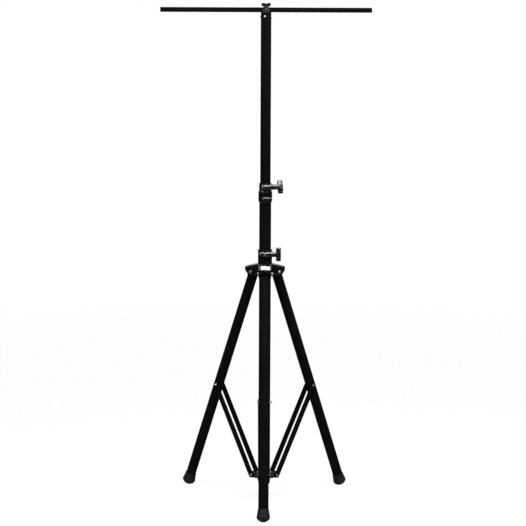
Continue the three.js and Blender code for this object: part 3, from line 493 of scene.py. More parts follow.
def turned(name, outline, sides=FINE_SIDES):
    """Spin an outline of (radius, height) corners about Z."""
    points = [(radius, 0.0, height) for radius, height in outline]
    if outline[0][0] > 0 or outline[-1][0] > 0:
        points.append(points[0])
    piece = drawn(name, points)
    bpy.ops.mesh.spin(steps=sides, angle=math.tau, center=(0, 0, 0), axis=(0, 0, 1))
    return closed(piece)


def extruded(name, points, step):
    """Fill an outline and extrude it by a step."""
    piece = drawn(name, points)
    bpy.ops.mesh.edge_face_add()
    bpy.ops.mesh.extrude_region_move(TRANSFORM_OT_translate={"value": step})
    return closed(piece)


def slab(name, outline, left, right):
    """A slab across X, from an outline of (outward, up) corners, where outward is -Y."""
    return extruded(name, [(left, -outward, up) for outward, up in outline], (right - left, 0, 0))


def board(name, outline, low, high):
    """A board that lies flat, from an outline of (x, y) corners."""
    return extruded(name, [(x, y, low) for x, y in outline], (0, 0, high - low))


def tube(name, inner, outer, low, high):
    return turned(name, [(inner, low), (outer, low), (outer, high), (inner, high)])


def rod(name, radius, low, high, sides=SMALL_SIDES):
    return turned(name, [(0, low), (radius, low), (radius, high), (0, high)], sides)


def placed(piece, place):
    """Move a piece to its place and write the place into its mesh."""
    piece.matrix_world = place
    alone(piece)
    bpy.ops.object.transform_apply(location=True, rotation=True, scale=True)
    return piece


def hole_across(name, radius, left, right, reach=0.0, rise=0.0):
    """A rod along X to cut a hole with, in front of the centre line by its reach."""
    return placed(rod(name, radius, left, right), Matrix.Translation((0, -reach, rise)) @ ALONG_X)


def twin(piece, name):
    """A copy of a piece with a mesh of its own."""
    copy = piece.copy()
    copy.data = piece.data.copy()
    copy.name = copy.data.name = name
    bpy.context.collection.objects.link(copy)
    return copy


def reshaped(piece, operation, tools):
    """Cut or join a piece with tools, which are used up."""
    for tool in tools:
        alone(piece)
        change = piece.modifiers.new("Shape", "BOOLEAN")
        change.operation = operation
        change.solver = "EXACT"
        change.object = tool
        bpy.ops.object.modifier_apply(modifier=change.name)
        bpy.data.objects.remove(tool, do_unlink=True)
    if not piece.data.polygons:
        raise RuntimeError(piece.name + " was cut away")
    return piece


def cut(piece, *tools):
    return reshaped(piece, "DIFFERENCE", tools)


def fused(piece, *others):
    return reshaped(piece, "UNION", others)


def common(piece, *others):
    return reshaped(piece, "INTERSECT", others)


def softened(piece, width, segments=3, limit=EDGE_ANGLE):
    """Round a piece's edges where its faces turn by more than the limit."""
    alone(piece)
    edge = piece.modifiers.new("Edge", "BEVEL")
    edge.width = width
    edge.segments = segments
    edge.limit_method = "ANGLE"
    edge.angle_limit = limit
    bpy.ops.object.modifier_apply(modifier=edge.name)
    return piece


def finished(piece, finish, *nodes, body=None, slot=True):
    """Shade a piece, give it its finish, and let it ride on its body in the place of its nodes."""
    body = body or BODY_OF[nodes[0]]
    alone(piece)
    bpy.ops.object.shade_smooth_by_angle(angle=SMOOTH_ANGLE)
    piece.data.materials.clear()
    piece.data.materials.append(bpy.data.materials["finish_" + finish])
    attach(piece, body)
    if nodes:
        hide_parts(*nodes)
    return piece


# Shader groups that several finishes share

def new_group(name, inputs, outputs):
    tree = bpy.data.node_groups.new(name, "ShaderNodeTree")
    for label, kind, default in inputs:
        socket = tree.interface.new_socket(name=label, in_out="INPUT", socket_type="NodeSocket" + kind)
        socket.default_value = default
    for label, kind in outputs:
        tree.interface.new_socket(name=label, in_out="OUTPUT", socket_type="NodeSocket" + kind)
    return tree, tree.nodes.new("NodeGroupInput"), tree.nodes.new("NodeGroupOutput")


def feed(tree, socket, value):
    """Give a socket a plain value, or join it to another socket."""
    if isinstance(value, bpy.types.NodeSocket):
        tree.links.new(value, socket)
    else:
        socket.default_value = value


def noise(tree, place, scale, detail, roughness=0.5):
    """A noise on object coordinates."""
    texture = tree.nodes.new("ShaderNodeTexNoise")
    texture.inputs["Detail"].default_value = detail
    texture.inputs["Roughness"].default_value = roughness
    tree.links.new(place, texture.inputs["Vector"])
    feed(tree, texture.inputs["Scale"], scale)
    return texture.outputs["Fac"]


def calculate(tree, operation, *values):
    step = tree.nodes.new("ShaderNodeMath")
    step.operation = operation
    for socket, value in zip(step.inputs, values):
        feed(tree, socket, value)
    return step.outputs[0]


def ranged(tree, value, from_low, from_high, low, high):
    """Map a value from one range to another."""
    step = tree.nodes.new("ShaderNodeMapRange")
    for socket, end in zip(step.inputs, (value, from_low, from_high, low, high)):
        feed(tree, socket, end)
    return step.outputs["Result"]


def spread(tree, value, low, high):
    """Map the busy middle of a noise from low to high."""
    return ranged(tree, value, NOISE_LOW, NOISE_HIGH, low, high)


def scaled_colour(tree, paint, factor):
    step = tree.nodes.new("ShaderNodeVectorMath")
    step.operation = "SCALE"
    tree.links.new(paint, step.inputs[0])
    tree.links.new(factor, step.inputs["Scale"])
    return step.outputs["Vector"]


def blended(tree, factor, first, second):
    """A mix of two colours. The colour sockets come after those of the other kinds."""
    mix = tree.nodes.new("ShaderNodeMix")
    mix.data_type = "RGBA"
    tree.links.new(factor, mix.inputs[0])
    tree.links.new(first, mix.inputs[6])
    tree.links.new(second, mix.inputs[7])
    return mix.outputs[2]


def build_skin_group():
    """Grain of a coat or a moulded skin, with slow changes of shade and gloss."""
    tree, given, out = new_group("Skin", [
        ("Color", "Color", (0.01, 0.01, 0.01, 1)), ("Grain Scale", "Float", 900.0),
        ("Cloud Scale", "Float", 14.0), ("Shade Change", "Float", 0.15),
        ("Roughness", "Float", 0.45), ("Gloss Change", "Float", 0.06),
    ], [("Color", "Color"), ("Roughness", "Float"), ("Height", "Float")])
    place = tree.nodes.new("ShaderNodeTexCoord").outputs["Object"]
    grain = noise(tree, place, given.outputs["Grain Scale"], detail=2.0, roughness=0.6)
    cloud = noise(tree, place, given.outputs["Cloud Scale"], detail=3.0)
    fine = noise(tree, place, FINE_SCALE, detail=2.0)
    change = given.outputs["Shade Change"]
    shade = spread(tree, cloud, calculate(tree, "SUBTRACT", 1.0, change), calculate(tree, "ADD", 1.0, change))
    gloss = given.outputs["Gloss Change"]
    rough = given.outputs["Roughness"]
    mixed = calculate(tree, "ADD", calculate(tree, "MULTIPLY", cloud, CLOUD_SHARE),
                      calculate(tree, "MULTIPLY", fine, 1.0 - CLOUD_SHARE))
    tree.links.new(scaled_colour(tree, given.outputs["Color"], shade), out.inputs["Color"])
    tree.links.new(spread(tree, mixed, calculate(tree, "SUBTRACT", rough, gloss),
                          calculate(tree, "ADD", rough, gloss)), out.inputs["Roughness"])
    height = calculate(tree, "ADD", grain, calculate(tree, "MULTIPLY", fine, FINE_RELIEF_SHARE))
    tree.links.new(height, out.inputs["Height"])


def build_dust_group():
    """Faint dust that settles on faces that look up."""
    tree, given, out = new_group("Dust film", [
        ("Color", "Color", (0.01, 0.01, 0.01, 1)), ("Roughness", "Float", 0.45),
        ("Dust Color", "Color", (0.2, 0.19, 0.18, 1)), ("Amount", "Float", 0.1),
    ], [("Color", "Color"), ("Roughness", "Float")])
    where = tree.nodes.new("ShaderNodeTexCoord")
    split = tree.nodes.new("ShaderNodeSeparateXYZ")
    tree.links.new(where.outputs["Normal"], split.inputs["Vector"])
    facing = tree.nodes.new("ShaderNodeMapRange")
    facing.interpolation_type = "SMOOTHSTEP"
    facing.inputs["From Min"].default_value, facing.inputs["From Max"].default_value = DUST_FACING
    tree.links.new(split.outputs["Z"], facing.inputs["Value"])
    place = where.outputs["Object"]
    specks = spread(tree, noise(tree, place, SPECK_SCALE, detail=4.0, roughness=0.7), 0.4, 1.0)
    patches = spread(tree, noise(tree, place, PATCH_SCALE, detail=2.0), 0.5, 1.0)
    mask = calculate(tree, "MULTIPLY", calculate(tree, "MULTIPLY", facing.outputs["Result"], specks),
                     calculate(tree, "MULTIPLY", patches, given.outputs["Amount"]))
    dusted = blended(tree, mask, given.outputs["Color"], given.outputs["Dust Color"])
    tree.links.new(dusted, out.inputs["Color"])
    change = calculate(tree, "MULTIPLY", mask, DUST_ROUGHNESS)
    tree.links.new(calculate(tree, "ADD", given.outputs["Roughness"], change), out.inputs["Roughness"])


def build_rub_group():
    """Hair-fine rub marks along a sliding or handled surface."""
    tree, given, out = new_group("Rub marks", [
        ("Roughness", "Float", 0.45), ("Amount", "Float", 0.05),
    ], [("Roughness", "Float")])
    place = tree.nodes.new("ShaderNodeTexCoord").outputs["Object"]
    stretch = tree.nodes.new("ShaderNodeMapping")
    stretch.inputs["Scale"].default_value = (1.0, 1.0, RUB_STRETCH)
    tree.links.new(place, stretch.inputs["Vector"])
    lines = noise(tree, stretch.outputs["Vector"], RUB_SCALE, detail=3.0, roughness=0.7)
    patches = noise(tree, place, RUB_PATCH_SCALE, detail=2.0)
    mask = calculate(tree, "MULTIPLY", spread(tree, lines, 0.0, 1.0), spread(tree, patches, 0.0, 1.0))
    rubbed = calculate(tree, "MULTIPLY", mask, given.outputs["Amount"])
    tree.links.new(calculate(tree, "SUBTRACT", given.outputs["Roughness"], rubbed), out.inputs["Roughness"])


def group_in(tree, name, **values):
    """Place a shader group in a material with its own values."""
    node = tree.nodes.new("ShaderNodeGroup")
    node.node_tree = bpy.data.node_groups[name]
    for label, value in values.items():
        feed(tree, node.inputs[label.replace("_", " ").title()], value)
    return node


def finish_material(name, paint, dust, *, roughness, gloss_change=0.06, grain=900.0, cloud=14.0,
                    shade_change=0.15, specular=0.3, metallic=0.0, relief=0.25, dust_amount=0.0, rub=0.0,
                    dull_above=None):
    """A finish made of the shared groups and one shader, duller above a height where one is given."""
    made = bpy.data.materials.new("finish_" + name)
    made.use_nodes = True
    tree = made.node_tree
    shader = tree.nodes["Principled BSDF"]
    skin = group_in(tree, "Skin", color=(*paint, 1), grain_scale=grain, cloud_scale=cloud,
                    shade_change=shade_change, roughness=roughness, gloss_change=gloss_change)
    tint, rough = skin.outputs["Color"], skin.outputs["Roughness"]
    if rub:
        rough = group_in(tree, "Rub marks", roughness=rough, amount=rub).outputs["Roughness"]
    if dust_amount:
        film = group_in(tree, "Dust film", color=tint, roughness=rough, dust_color=(*dust, 1),
                        amount=dust_amount)
        tint, rough = film.outputs["Color"], film.outputs["Roughness"]
    shader.inputs["Specular IOR Level"].default_value = specular
    if dull_above:
        split = tree.nodes.new("ShaderNodeSeparateXYZ")
        tree.links.new(tree.nodes.new("ShaderNodeTexCoord").outputs["Object"], split.inputs["Vector"])
        height, ends = split.outputs["Z"], (dull_above, dull_above + DULL_DEPTH)
        feed(tree, shader.inputs["Specular IOR Level"], ranged(tree, height, *ends, specular, DULL_SPECULAR))
        rough = calculate(tree, "MAXIMUM", rough, ranged(tree, height, *ends, 0.0, DULL_ROUGHNESS))
    tree.links.new(tint, shader.inputs["Base Color"])
    tree.links.new(rough, shader.inputs["Roughness"])
    bump = tree.nodes.new("ShaderNodeBump")
    bump.inputs["Strength"].default_value = relief
    bump.inputs["Distance"].default_value = RELIEF_DEPTH
    tree.links.new(skin.outputs["Height"], bump.inputs["Height"])
    tree.links.new(bump.outputs["Normal"], shader.inputs["Normal"])
    shader.inputs["Metallic"].default_value = metallic
    return made


# Pieces of the mast

def mast_tube(name, node, radius, wall, lip):
    low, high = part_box(node)
    piece = softened(tube(name, radius - wall, radius, low.z, high.z), lip)
    return placed(piece, mast_place(0.0))


def foot_plug(mast):
    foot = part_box("lower_mast_tube")[0].z - GAP
    bore = mast.lower_radius - mast.wall - GAP
    outline = [
        (0, foot - mast.plug_flange), (mast.lower_radius, foot - mast.plug_flange), (mast.lower_radius, foot),
        (bore, foot), (bore, foot + mast.plug_depth), (0, foot + mast.plug_depth),
    ]
    return placed(softened(turned("tube_foot_plug", outline), mast.lip * 2), mast_place(0.0))


def ear_pair(name, radius, half, reach, rise, shift=0.0):
    """Two bosses across a clamp's gap, made as one bar along X."""
    bar = softened(rod(name, radius, shift - half, shift + half, ROUND_SIDES), radius * EAR_EDGE_SHARE)
    return placed(bar, Matrix.Translation((0, -reach, rise)) @ ALONG_X)


def ear_hole(radius, half, reach, rise, shift=0.0):
    """The bolt's way through both bosses."""
    return hole_across("ear_hole", radius, shift - half - OVERRUN, shift + half + OVERRUN, reach, rise)


def gap_block(width, depth, low, high):
    """The gap of a split clamp, from the centre line to the front."""
    half = width / 2
    return board("clamp_gap", [(-half, -depth), (half, -depth), (half, 0), (-half, 0)], low, high)


def collar_casting(mast, bolts):
    """The mast's collar in its own place, from its foot up."""
    height = COLLAR_TOP - COLLAR_FOOT
    rise = joint_point("mast_knob_turn").z - COLLAR_FOOT
    step_top = mast.collar_socket + mast.collar_step
    seat = mast.socket_depth + GAP
    shell = softened(turned("collar_casting", [
        (0, 0), (mast.collar_mouth, 0), (mast.collar_lower, mast.collar_taper),
        (mast.collar_lower, mast.collar_socket), (mast.collar_upper, step_top), (mast.collar_upper, height),
        (0, height),
    ]), mast.lip * 2, limit=COLLAR_EDGE_ANGLE)
    bore = turned("collar_bore", [
        (0, -OVERRUN), (mast.lower_radius + GAP, -OVERRUN), (mast.lower_radius + GAP, seat),
        (mast.upper_radius + GAP * 2, seat), (mast.upper_radius + GAP * 2, seat + mast.collar_step),
        (mast.liner_radius + GAP, seat + mast.collar_step), (mast.liner_radius + GAP, height + OVERRUN),
        (0, height + OVERRUN),
    ])
    upper = ear_pair("upper_ears", mast.ear_radius, mast.ear_half, mast.ear_reach, rise)
    lower = ear_pair("lower_ears", mast.pinch_radius, mast.pinch_half, mast.pinch_reach, mast.pinch_rise)
    fused(shell, upper, lower)
    gap = gap_block(mast.slot, mast.ear_reach + mast.ear_radius + OVERRUN, -OVERRUN,
                    rise + mast.ear_radius + OVERRUN)
    return cut(shell, bore, gap,
               ear_hole(bolts.clamp_shank + GAP, mast.ear_half, mast.ear_reach, rise),
               ear_hole(bolts.pinch_shank + GAP, mast.pinch_half, mast.pinch_reach, mast.pinch_rise))


def lipped_liner(name, inner, outer, foot, lip_foot, lip_height, lip_reach, edge, slot, slot_top):
    """A split liner with a lip that lies on its clamp's top."""
    liner = softened(turned(name, [
        (inner, foot), (outer, foot), (outer, lip_foot), (outer + lip_reach, lip_foot),
        (outer + lip_reach, lip_foot + lip_height), (inner, lip_foot + lip_height),
    ]), edge)
    return cut(liner, gap_block(slot, outer + lip_reach + OVERRUN, foot - OVERRUN, slot_top))


class STAND_OT_mast_tubes(bpy.types.Operator):
    """Turn both tubes of the mast and the plug in the lower tube's foot"""
    bl_idname = "stand.mast_tubes"
    bl_label = "Mast tubes"

    def execute(self, context):
        scene = context.scene
        mast, bracket, bolts = scene.stand_mast, scene.stand_bracket, scene.stand_fasteners
        lower = mast_tube("lower_tube", "lower_mast_tube", mast.lower_radius, mast.wall, mast.lip)
        cut(lower, *(radial_hole(screw_place(node, bracket.core), bolts) for node in BRACKET_SCREWS))
        finished(lower, "black_paint", "lower_mast_tube")
        upper = mast_tube("upper_tube", "upper_mast_tube", mast.upper_radius, mast.wall, mast.lip)
        cut(upper, *(radial_hole(screw_place(node, mast.upper_radius), bolts) for node in HEAD_SCREWS))
        finished(upper, "black_paint", "upper_mast_tube")
        finished(foot_plug(mast), "black_plastic", "mast_foot_plug")
        return {"FINISHED"}


class STAND_OT_mast_collar(bpy.types.Operator):
    """Model the collar on the lower tube's top, with its split clamp and liner"""
    bl_idname = "stand.mast_collar"
    bl_label = "Mast collar"

    def execute(self, context):
        mast, bolts = context.scene.stand_mast, context.scene.stand_fasteners
        place = mast_place(COLLAR_FOOT, COLLAR_TURN)
        finished(placed(collar_casting(mast, bolts), place), "black_casting", "mast_collar")
        lip_foot = COLLAR_TOP - COLLAR_FOOT + GAP
        foot = mast.socket_depth + mast.collar_step + GAP * 2
        liner = lipped_liner("collar_liner", mast.upper_radius + GAP, mast.liner_radius, foot, lip_foot,
                             mast.liner_lip - GAP, mast.liner_reach, mast.liner_edge, mast.slot,
                             lip_foot + mast.liner_lip + OVERRUN)
        finished(placed(liner, place), "dark_nylon", "mast_collar_liner")
        return {"FINISHED"}


# The leg hub: a split collar with three crowned arms, hollow from below

def arm_section(half, crown, drop, deep):
    """An arm's cross-section, with its crowned top."""
    top = bend((half, -crown - drop), (0, crown - drop), (-half, -crown - drop), ARC_STEPS * 3)
    return [(-half, -deep), (half, -deep), *top]


def arm_prism(name, hub, half, drop):
    slope = hub.arm_slope
    deep = hub.arm_root + hub.drop + hub.arm_crown + OVERRUN
    start = hub.arm_root + hub.core * math.tan(slope)
    points = [(x, 0.0, start + up) for x, up in arm_section(half, hub.arm_crown, drop, deep)]
    run = hub.arm_reach * 2
    return extruded(name, points, (0, -run, -run * math.tan(slope)))


def hub_arm(hub):
    """One arm before its channel, pointing to the front, with the pivots' height as zero."""
    nose_top = hub.arm_root - (hub.arm_reach - hub.core) * math.tan(hub.arm_slope)
    back = hub.arm_reach - hub.nose_round
    high = hub.arm_root + hub.arm_reach
    side = [
        (0, -hub.drop), (hub.undercut_reach, -hub.drop), (hub.undercut_reach, -hub.undercut_height),
        *bend((hub.arm_reach, hub.nose_height), (hub.arm_reach, nose_top),
              (back, nose_top + hub.arm_crown + hub.nose_round * math.tan(hub.arm_slope))),
        (back, high), (0, high),
    ]
    half = hub.arm_half + OVERRUN
    arm = common(arm_prism("hub_arm", hub, hub.arm_half, 0.0), slab("arm_side", side, -half, half))
    plan = rounded_box(hub.arm_half, hub.arm_reach, hub.nose_corner)
    common(arm, board("arm_plan", plan, -hub.arm_reach, hub.arm_reach))
    return softened(arm, hub.edge, limit=ARM_EDGE_ANGLE)


def arm_channel(hub):
    """The hollow of an arm, open below."""
    inner = hub.arm_half - hub.cheek
    start, end = hub.core - hub.cheek, hub.arm_reach - hub.cheek
    side = [(start, -hub.drop - OVERRUN), (end, -hub.drop - OVERRUN), (end, hub.arm_root),
            (start, hub.arm_root)]
    half = inner + OVERRUN
    return common(arm_prism("arm_channel", hub, inner, hub.cheek), slab("channel_side", side, -half, half))


def arm_opening(hub):
    """The arched way through an arm's end, which the leg swings in."""
    inner = hub.arm_half - hub.cheek
    start = hub.arm_reach - hub.cheek - OVERRUN
    arch = [(-inner, -hub.drop - OVERRUN), (inner, -hub.drop - OVERRUN),
            *bend((inner, hub.arch_foot), (0, hub.arch_top * 2 - hub.arch_foot), (-inner, hub.arch_foot))]
    step = (0, start - hub.arm_reach - OVERRUN, 0)
    return extruded("arm_opening", [(x, -start, up) for x, up in arch], step)


def around(tool):
    """Copies of a tool or arm turned to all three legs, in place of the one given."""
    copies = []
    for side in SIDES:
        copy = twin(tool, tool.name + "_" + side)
        copies.append(placed(copy, Matrix.Rotation(side_turn(side), 4, "Z")))
    bpy.data.objects.remove(tool, do_unlink=True)
    return copies


def hub_casting(hub, mast, bolts):
    """The hub in its own place, with the pivots' height as zero."""
    rise = joint_point("hub_knob_turn").z - HUB_HEIGHT
    core = softened(rod("hub_casting", hub.core, -hub.drop, hub.top, FINE_SIDES), hub.edge * HUB_RIM_SHARE)
    fused(core, *around(hub_arm(hub)))
    fused(core, ear_pair("hub_ears", mast.ear_radius, mast.ear_half, hub.ear_reach, rise, hub.ear_shift))
    cut(core, *around(arm_channel(hub)), *around(arm_opening(hub)))
    seat = hub.top - hub.liner_length
    bore = turned("hub_bore", [
        (0, -hub.drop - OVERRUN), (hub.bore, -hub.drop - OVERRUN), (hub.bore, seat),
        (hub.liner_radius + GAP, seat), (hub.liner_radius + GAP, hub.top + OVERRUN), (0, hub.top + OVERRUN),
    ])
    gap = gap_block(mast.slot, hub.ear_reach + mast.ear_radius + OVERRUN, hub.slot_foot,
                    rise + mast.ear_radius + OVERRUN)
    cut(core, bore, gap, ear_hole(bolts.clamp_shank + GAP, mast.ear_half, hub.ear_reach, rise, hub.ear_shift))
    half = hub.arm_half + OVERRUN
    pivot = hole_across("pivot_hole", bolts.clamp_shank + GAP, -half, half, HUB_PIVOT_REACH)
    return cut(core, *around(pivot))


def blank_plate(hub):
    """A thin white patch that follows the front arm's top: a painted highlight, where light glints off the arm's
    top as it slopes towards the front.
    """
    arm = hub_arm(hub)
    highlight_patch = placed(twin(arm, "blank_plate"), Matrix.Translation((0, 0, hub.highlight_patch_thickness)))
    span = (hub.highlight_patch_end - hub.highlight_patch_start) / 2
    centre = -(hub.highlight_patch_end + hub.highlight_patch_start) / 2
    outline = [(x + hub.highlight_patch_shift, y + centre) for x, y in rounded_box(hub.highlight_patch_half, span, hub.edge)]
    common(highlight_patch, board("plate_plan", outline, hub.nose_height, hub.arm_root + hub.arm_root))
    return placed(cut(highlight_patch, arm), Matrix.Translation((0, 0, hub.highlight_patch_lift)))


class STAND_OT_leg_hub(bpy.types.Operator):
    """Model the sliding hub with its three arms and split clamp, and its liner"""
    bl_idname = "stand.leg_hub"
    bl_label = "Leg hub"

    def execute(self, context):
        scene = context.scene
        hub, mast = scene.stand_hub, scene.stand_mast
        place = mast_place(HUB_HEIGHT)
        casting = hub_casting(hub, mast, scene.stand_fasteners)
        finished(placed(casting, place), "black_casting", "leg_hub")
        lip_foot = hub.top + GAP
        liner = lipped_liner("hub_liner", mast.lower_radius + GAP, hub.liner_radius,
                             lip_foot - hub.liner_length, lip_foot, hub.liner_lip, hub.liner_reach,
                             mast.liner_edge, mast.slot, lip_foot - GAP)
        finished(placed(liner, place), "dark_nylon", "leg_hub_liner")
        return {"FINISHED"}


class STAND_OT_painted_highlight_patch(bpy.types.Operator):
    """Lay the white patch on the front arm, a painted highlight on the arm's sloped top"""
    bl_idname = "stand.blank_plate"
    bl_label = "Blank plate"

    def execute(self, context):
        highlight_patch = placed(blank_plate(context.scene.stand_hub), mast_place(HUB_HEIGHT))
        finished(highlight_patch, "white_plate", body=BODY_OF["leg_hub"], slot=False)
        return {"FINISHED"}


# Clamp knobs

def t_knob(knobs, bolts):
    """A moulded T-knob along X, with its root at zero."""
    end, tip = knobs.handle / 2, knobs.tip / 2
    flank, belly = end - knobs.corner, knobs.belly - tip
    side = []
    for up in (1, -1):
        side += [
            *bend((up * tip, up * flank), (up * tip, up * end), (0, up * end)),
            *bend((0, up * end), (-up * tip, up * end), (-up * tip, up * flank)),
            *bend((-up * tip, up * flank), (-up * belly, 0), (-up * tip, -up * flank), ARC_STEPS * 2),
        ]
    handle = extruded("t_knob_handle", [(knobs.shaft, y, z) for y, z in side[:-1]], (knobs.axial, 0, 0))
    softened(handle, knobs.edge, segments=4, limit=FLAT_EDGE_ANGLE)
    root = knobs.shaft + knobs.axial / 2
    shaft = placed(softened(turned("t_knob", [
        (0, 0), (knobs.shaft_radius, 0), (knobs.shaft_radius, knobs.edge), (knobs.waist, knobs.shaft / 2),
        (knobs.waist, root), (0, root),
    ], ROUND_SIDES), knobs.edge * SHAFT_EDGE_SHARE), ALONG_X)
    seat = hole_across("knob_bore", bolts.clamp_shank + GAP, -OVERRUN, knobs.screw + GAP)
    return cut(fused(shaft, handle), seat)


def wing_knob(knobs):
    """The two-lobed knob over the head, from its foot up."""
    foot, high = (corner.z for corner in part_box("head_knob"))
    low = high - knobs.wing_height
    half, corner = knobs.wing_span / 2, knobs.wing_corner
    lobe = half - corner
    half_outline = [
        *bend((lobe, low), (half, low), (half, (low + high) / 2)),
        *bend((half, (low + high) / 2), (half, high), (lobe, high)),
        *bend((lobe, high), (lobe / 2, high), (0, high - knobs.wing_saddle)),
    ]
    mirrored = [(-x, z) for x, z in reversed(half_outline)]
    thick = knobs.wing_thickness
    wings = extruded("wing_lobes", [(x, -thick / 2, z) for x, z in (*half_outline, *mirrored[1:])],
                     (0, thick, 0))
    softened(wings, knobs.wing_edge, segments=4, limit=FLAT_EDGE_ANGLE)
    neck = softened(rod("wing_knob", knobs.wing_neck, foot, (low + high) / 2, ROUND_SIDES),
                    knobs.wing_edge / 4)
    seat = rod("wing_bore", knobs.wing_bore, foot - OVERRUN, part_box("head_knob_screw")[1].z + GAP)
    return cut(fused(neck, wings), seat)


class STAND_OT_clamp_knobs(bpy.types.Operator):
    """Mould the two T-knobs of the clamps"""
    bl_idname = "stand.clamp_knobs"
    bl_label = "Clamp knobs"

    def execute(self, context):
        knobs = context.scene.stand_knobs
        master = t_knob(knobs, context.scene.stand_fasteners)
        for name, joint, turn in (("mast_t_knob", "mast_knob_turn", knobs.mast_turn),
                                  ("hub_t_knob", "hub_knob_turn", knobs.hub_turn)):
            knob = placed(twin(master, name), joint_place(joint) @ Matrix.Rotation(turn, 4, "X"))
            finished(knob, "black_plastic", joint.replace("_turn", ""))
        bpy.data.objects.remove(master, do_unlink=True)
        return {"FINISHED"}


# Legs, in their own place with the pivot on the hub at zero and the leg along -Z

def leg_reach(legs):
    """From the pivot on the hub to the centre of the foot's dome."""
    return (HUB_HEIGHT - (legs.dome - legs.ground_cut)) / math.cos(LEG_LEAN)


def tube_end(legs):
    return -leg_reach(legs) - legs.dome + legs.sole


def leg_barrel(legs, bolts):
    piece = softened(tube("leg_barrel", legs.radius - legs.wall, legs.radius, tube_end(legs), legs.headroom),
                     legs.lip)
    half = legs.radius + OVERRUN
    upper = hole_across("bolt_hole", bolts.clamp_shank + GAP, -half, half)
    lower = hole_across("bolt_hole", bolts.pinch_shank + GAP, -half, half, rise=-STRUT_DISTANCE)
    return cut(piece, upper, lower)


def leg_cap(legs, bolts):
    outer = legs.radius - legs.wall - GAP
    seat = legs.headroom + GAP
    top = seat + legs.plug_cap
    inner = outer - legs.plug_cap
    piece = softened(turned("leg_cap", [
        (inner, seat - legs.plug_depth), (outer, seat - legs.plug_depth), (outer, seat), (legs.radius, seat),
        (legs.radius, top - legs.plug_cap / 2), (legs.radius - legs.plug_cap, top), (0, top), (0, seat),
        (inner, seat),
    ]), legs.plug_edge)
    half = legs.radius + OVERRUN
    return cut(piece, hole_across("bolt_hole", bolts.clamp_shank + GAP, -half, half))


def foot_outline(legs):
    """The foot's section: domed sole, rim, a side that narrows upwards, the plain top band and the bore."""
    reach = leg_reach(legs)
    rim_angle = math.degrees(math.asin(legs.rim / legs.dome))
    rim_height = -reach - math.sqrt(legs.dome ** 2 - legs.rim ** 2)
    top = rim_height + legs.height
    sole = [(x, z) for x, z in arc((0, -reach), legs.dome, -90, rim_angle - 90, ARC_STEPS * 2)]
    bore = legs.radius + GAP
    return [
        (0, tube_end(legs) - GAP), (0, -reach - legs.dome), *sole[1:], (legs.rim, rim_height + legs.rim_band),
        (legs.top, top - legs.band), (legs.top, top), (bore, top), (bore, tube_end(legs) - GAP),
    ], rim_height


def rubber_foot(legs):
    outline, rim_height = foot_outline(legs)
    body = softened(turned("rubber_foot", outline), legs.foot_edge)
    radius = legs.flute_radius
    ends = radius + legs.flute_length
    groove_outline = [*arc((0, radius), radius, -90, 0), *arc((0, ends), radius, 0, 90)]
    groove = placed(turned("foot_flute", groove_outline, SMALL_SIDES),
                    Matrix.Rotation(legs.flute_lean, 4, "X"))
    reach = legs.rim + radius * legs.flute_out_share
    start = Matrix.Translation((0, -reach, rim_height + legs.flute_rise))
    for i in range(legs.flutes):
        turn = Matrix.Rotation((i + 0.5) * math.tau / legs.flutes, 4, "Z")
        cut(body, placed(twin(groove, "foot_flute_tool"), turn @ start))
    bpy.data.objects.remove(groove, do_unlink=True)
    softened(body, legs.flute_edge, segments=2, limit=FLUTE_EDGE_ANGLE)
    half = HUB_HEIGHT
    ground = board("ground", [(x * half, y * half) for x, y in CORNERS], -half, 0)
    return cut(body, placed(ground, leg_place("front").inverted()))


def at_each_leg(master, place, finish, *nodes):
    """Copies of a piece at all three legs, in the place of their nodes."""
    for side in SIDES:
        piece = placed(twin(master, side + "_" + master.name), place(side))
        finished(piece, finish, *(side + "_" + node for node in nodes))
    bpy.data.objects.remove(master, do_unlink=True)


class STAND_OT_legs(bpy.types.Operator):
    """Turn the three leg tubes and the plugs in their tops"""
    bl_idname = "stand.legs"
    bl_label = "Legs"

    def execute(self, context):
        legs, bolts = context.scene.stand_legs, context.scene.stand_fasteners
        at_each_leg(leg_barrel(legs, bolts), leg_place, "black_paint", "leg_tube")
        at_each_leg(leg_cap(legs, bolts), leg_place, "black_plastic", "leg_top_plug")
        return {"FINISHED"}


class STAND_OT_feet(bpy.types.Operator):
    """Turn the fluted rubber feet and grind them flat where they stand"""
    bl_idname = "stand.feet"
    bl_label = "Feet"

    def execute(self, context):
        at_each_leg(rubber_foot(context.scene.stand_legs), leg_place, "black_rubber", "foot")
        return {"FINISHED"}


# Struts, in their own place with the pivot on the leg at zero and the strips along -Z

def flat_strip(name, legs, bolts, left):
    half = legs.strip_half
    outline = [*arc((0, 0), half, 0, 180, ARC_STEPS * 3),
               *arc((0, -STRUT_LENGTH), half, 180, 360, ARC_STEPS * 3)]
    right = left + legs.strip_thickness
    strip = softened(slab(name, outline, left, right), legs.strip_edge, segments=2, limit=FLAT_EDGE_ANGLE)
    ends = left - OVERRUN, right + OVERRUN
    upper = hole_across("strip_hole", bolts.pinch_shank + GAP, *ends)
    lower = hole_across("strip_hole", bolts.rivet_radius + GAP, *ends, rise=-STRUT_LENGTH)
    return cut(strip, upper, lower)


def domed_rivet(name, legs, bolts, turn):
    face = legs.strip_inner + legs.strip_thickness + GAP
    top = face + bolts.rivet_height
    dome = bend((bolts.rivet_head, face + bolts.rivet_height / 4), (bolts.rivet_head, top), (0, top))
    rivet = softened(turned(name, [
        (0, legs.strip_inner), (bolts.rivet_radius, legs.strip_inner), (bolts.rivet_radius, face),
        (bolts.rivet_head, face), *dome,
    ], SMALL_SIDES), legs.strip_edge / 2, segments=2)
    return placed(rivet, Matrix.Translation((0, 0, -STRUT_LENGTH)) @ Matrix.Rotation(turn, 4, "Z") @ ALONG_X)


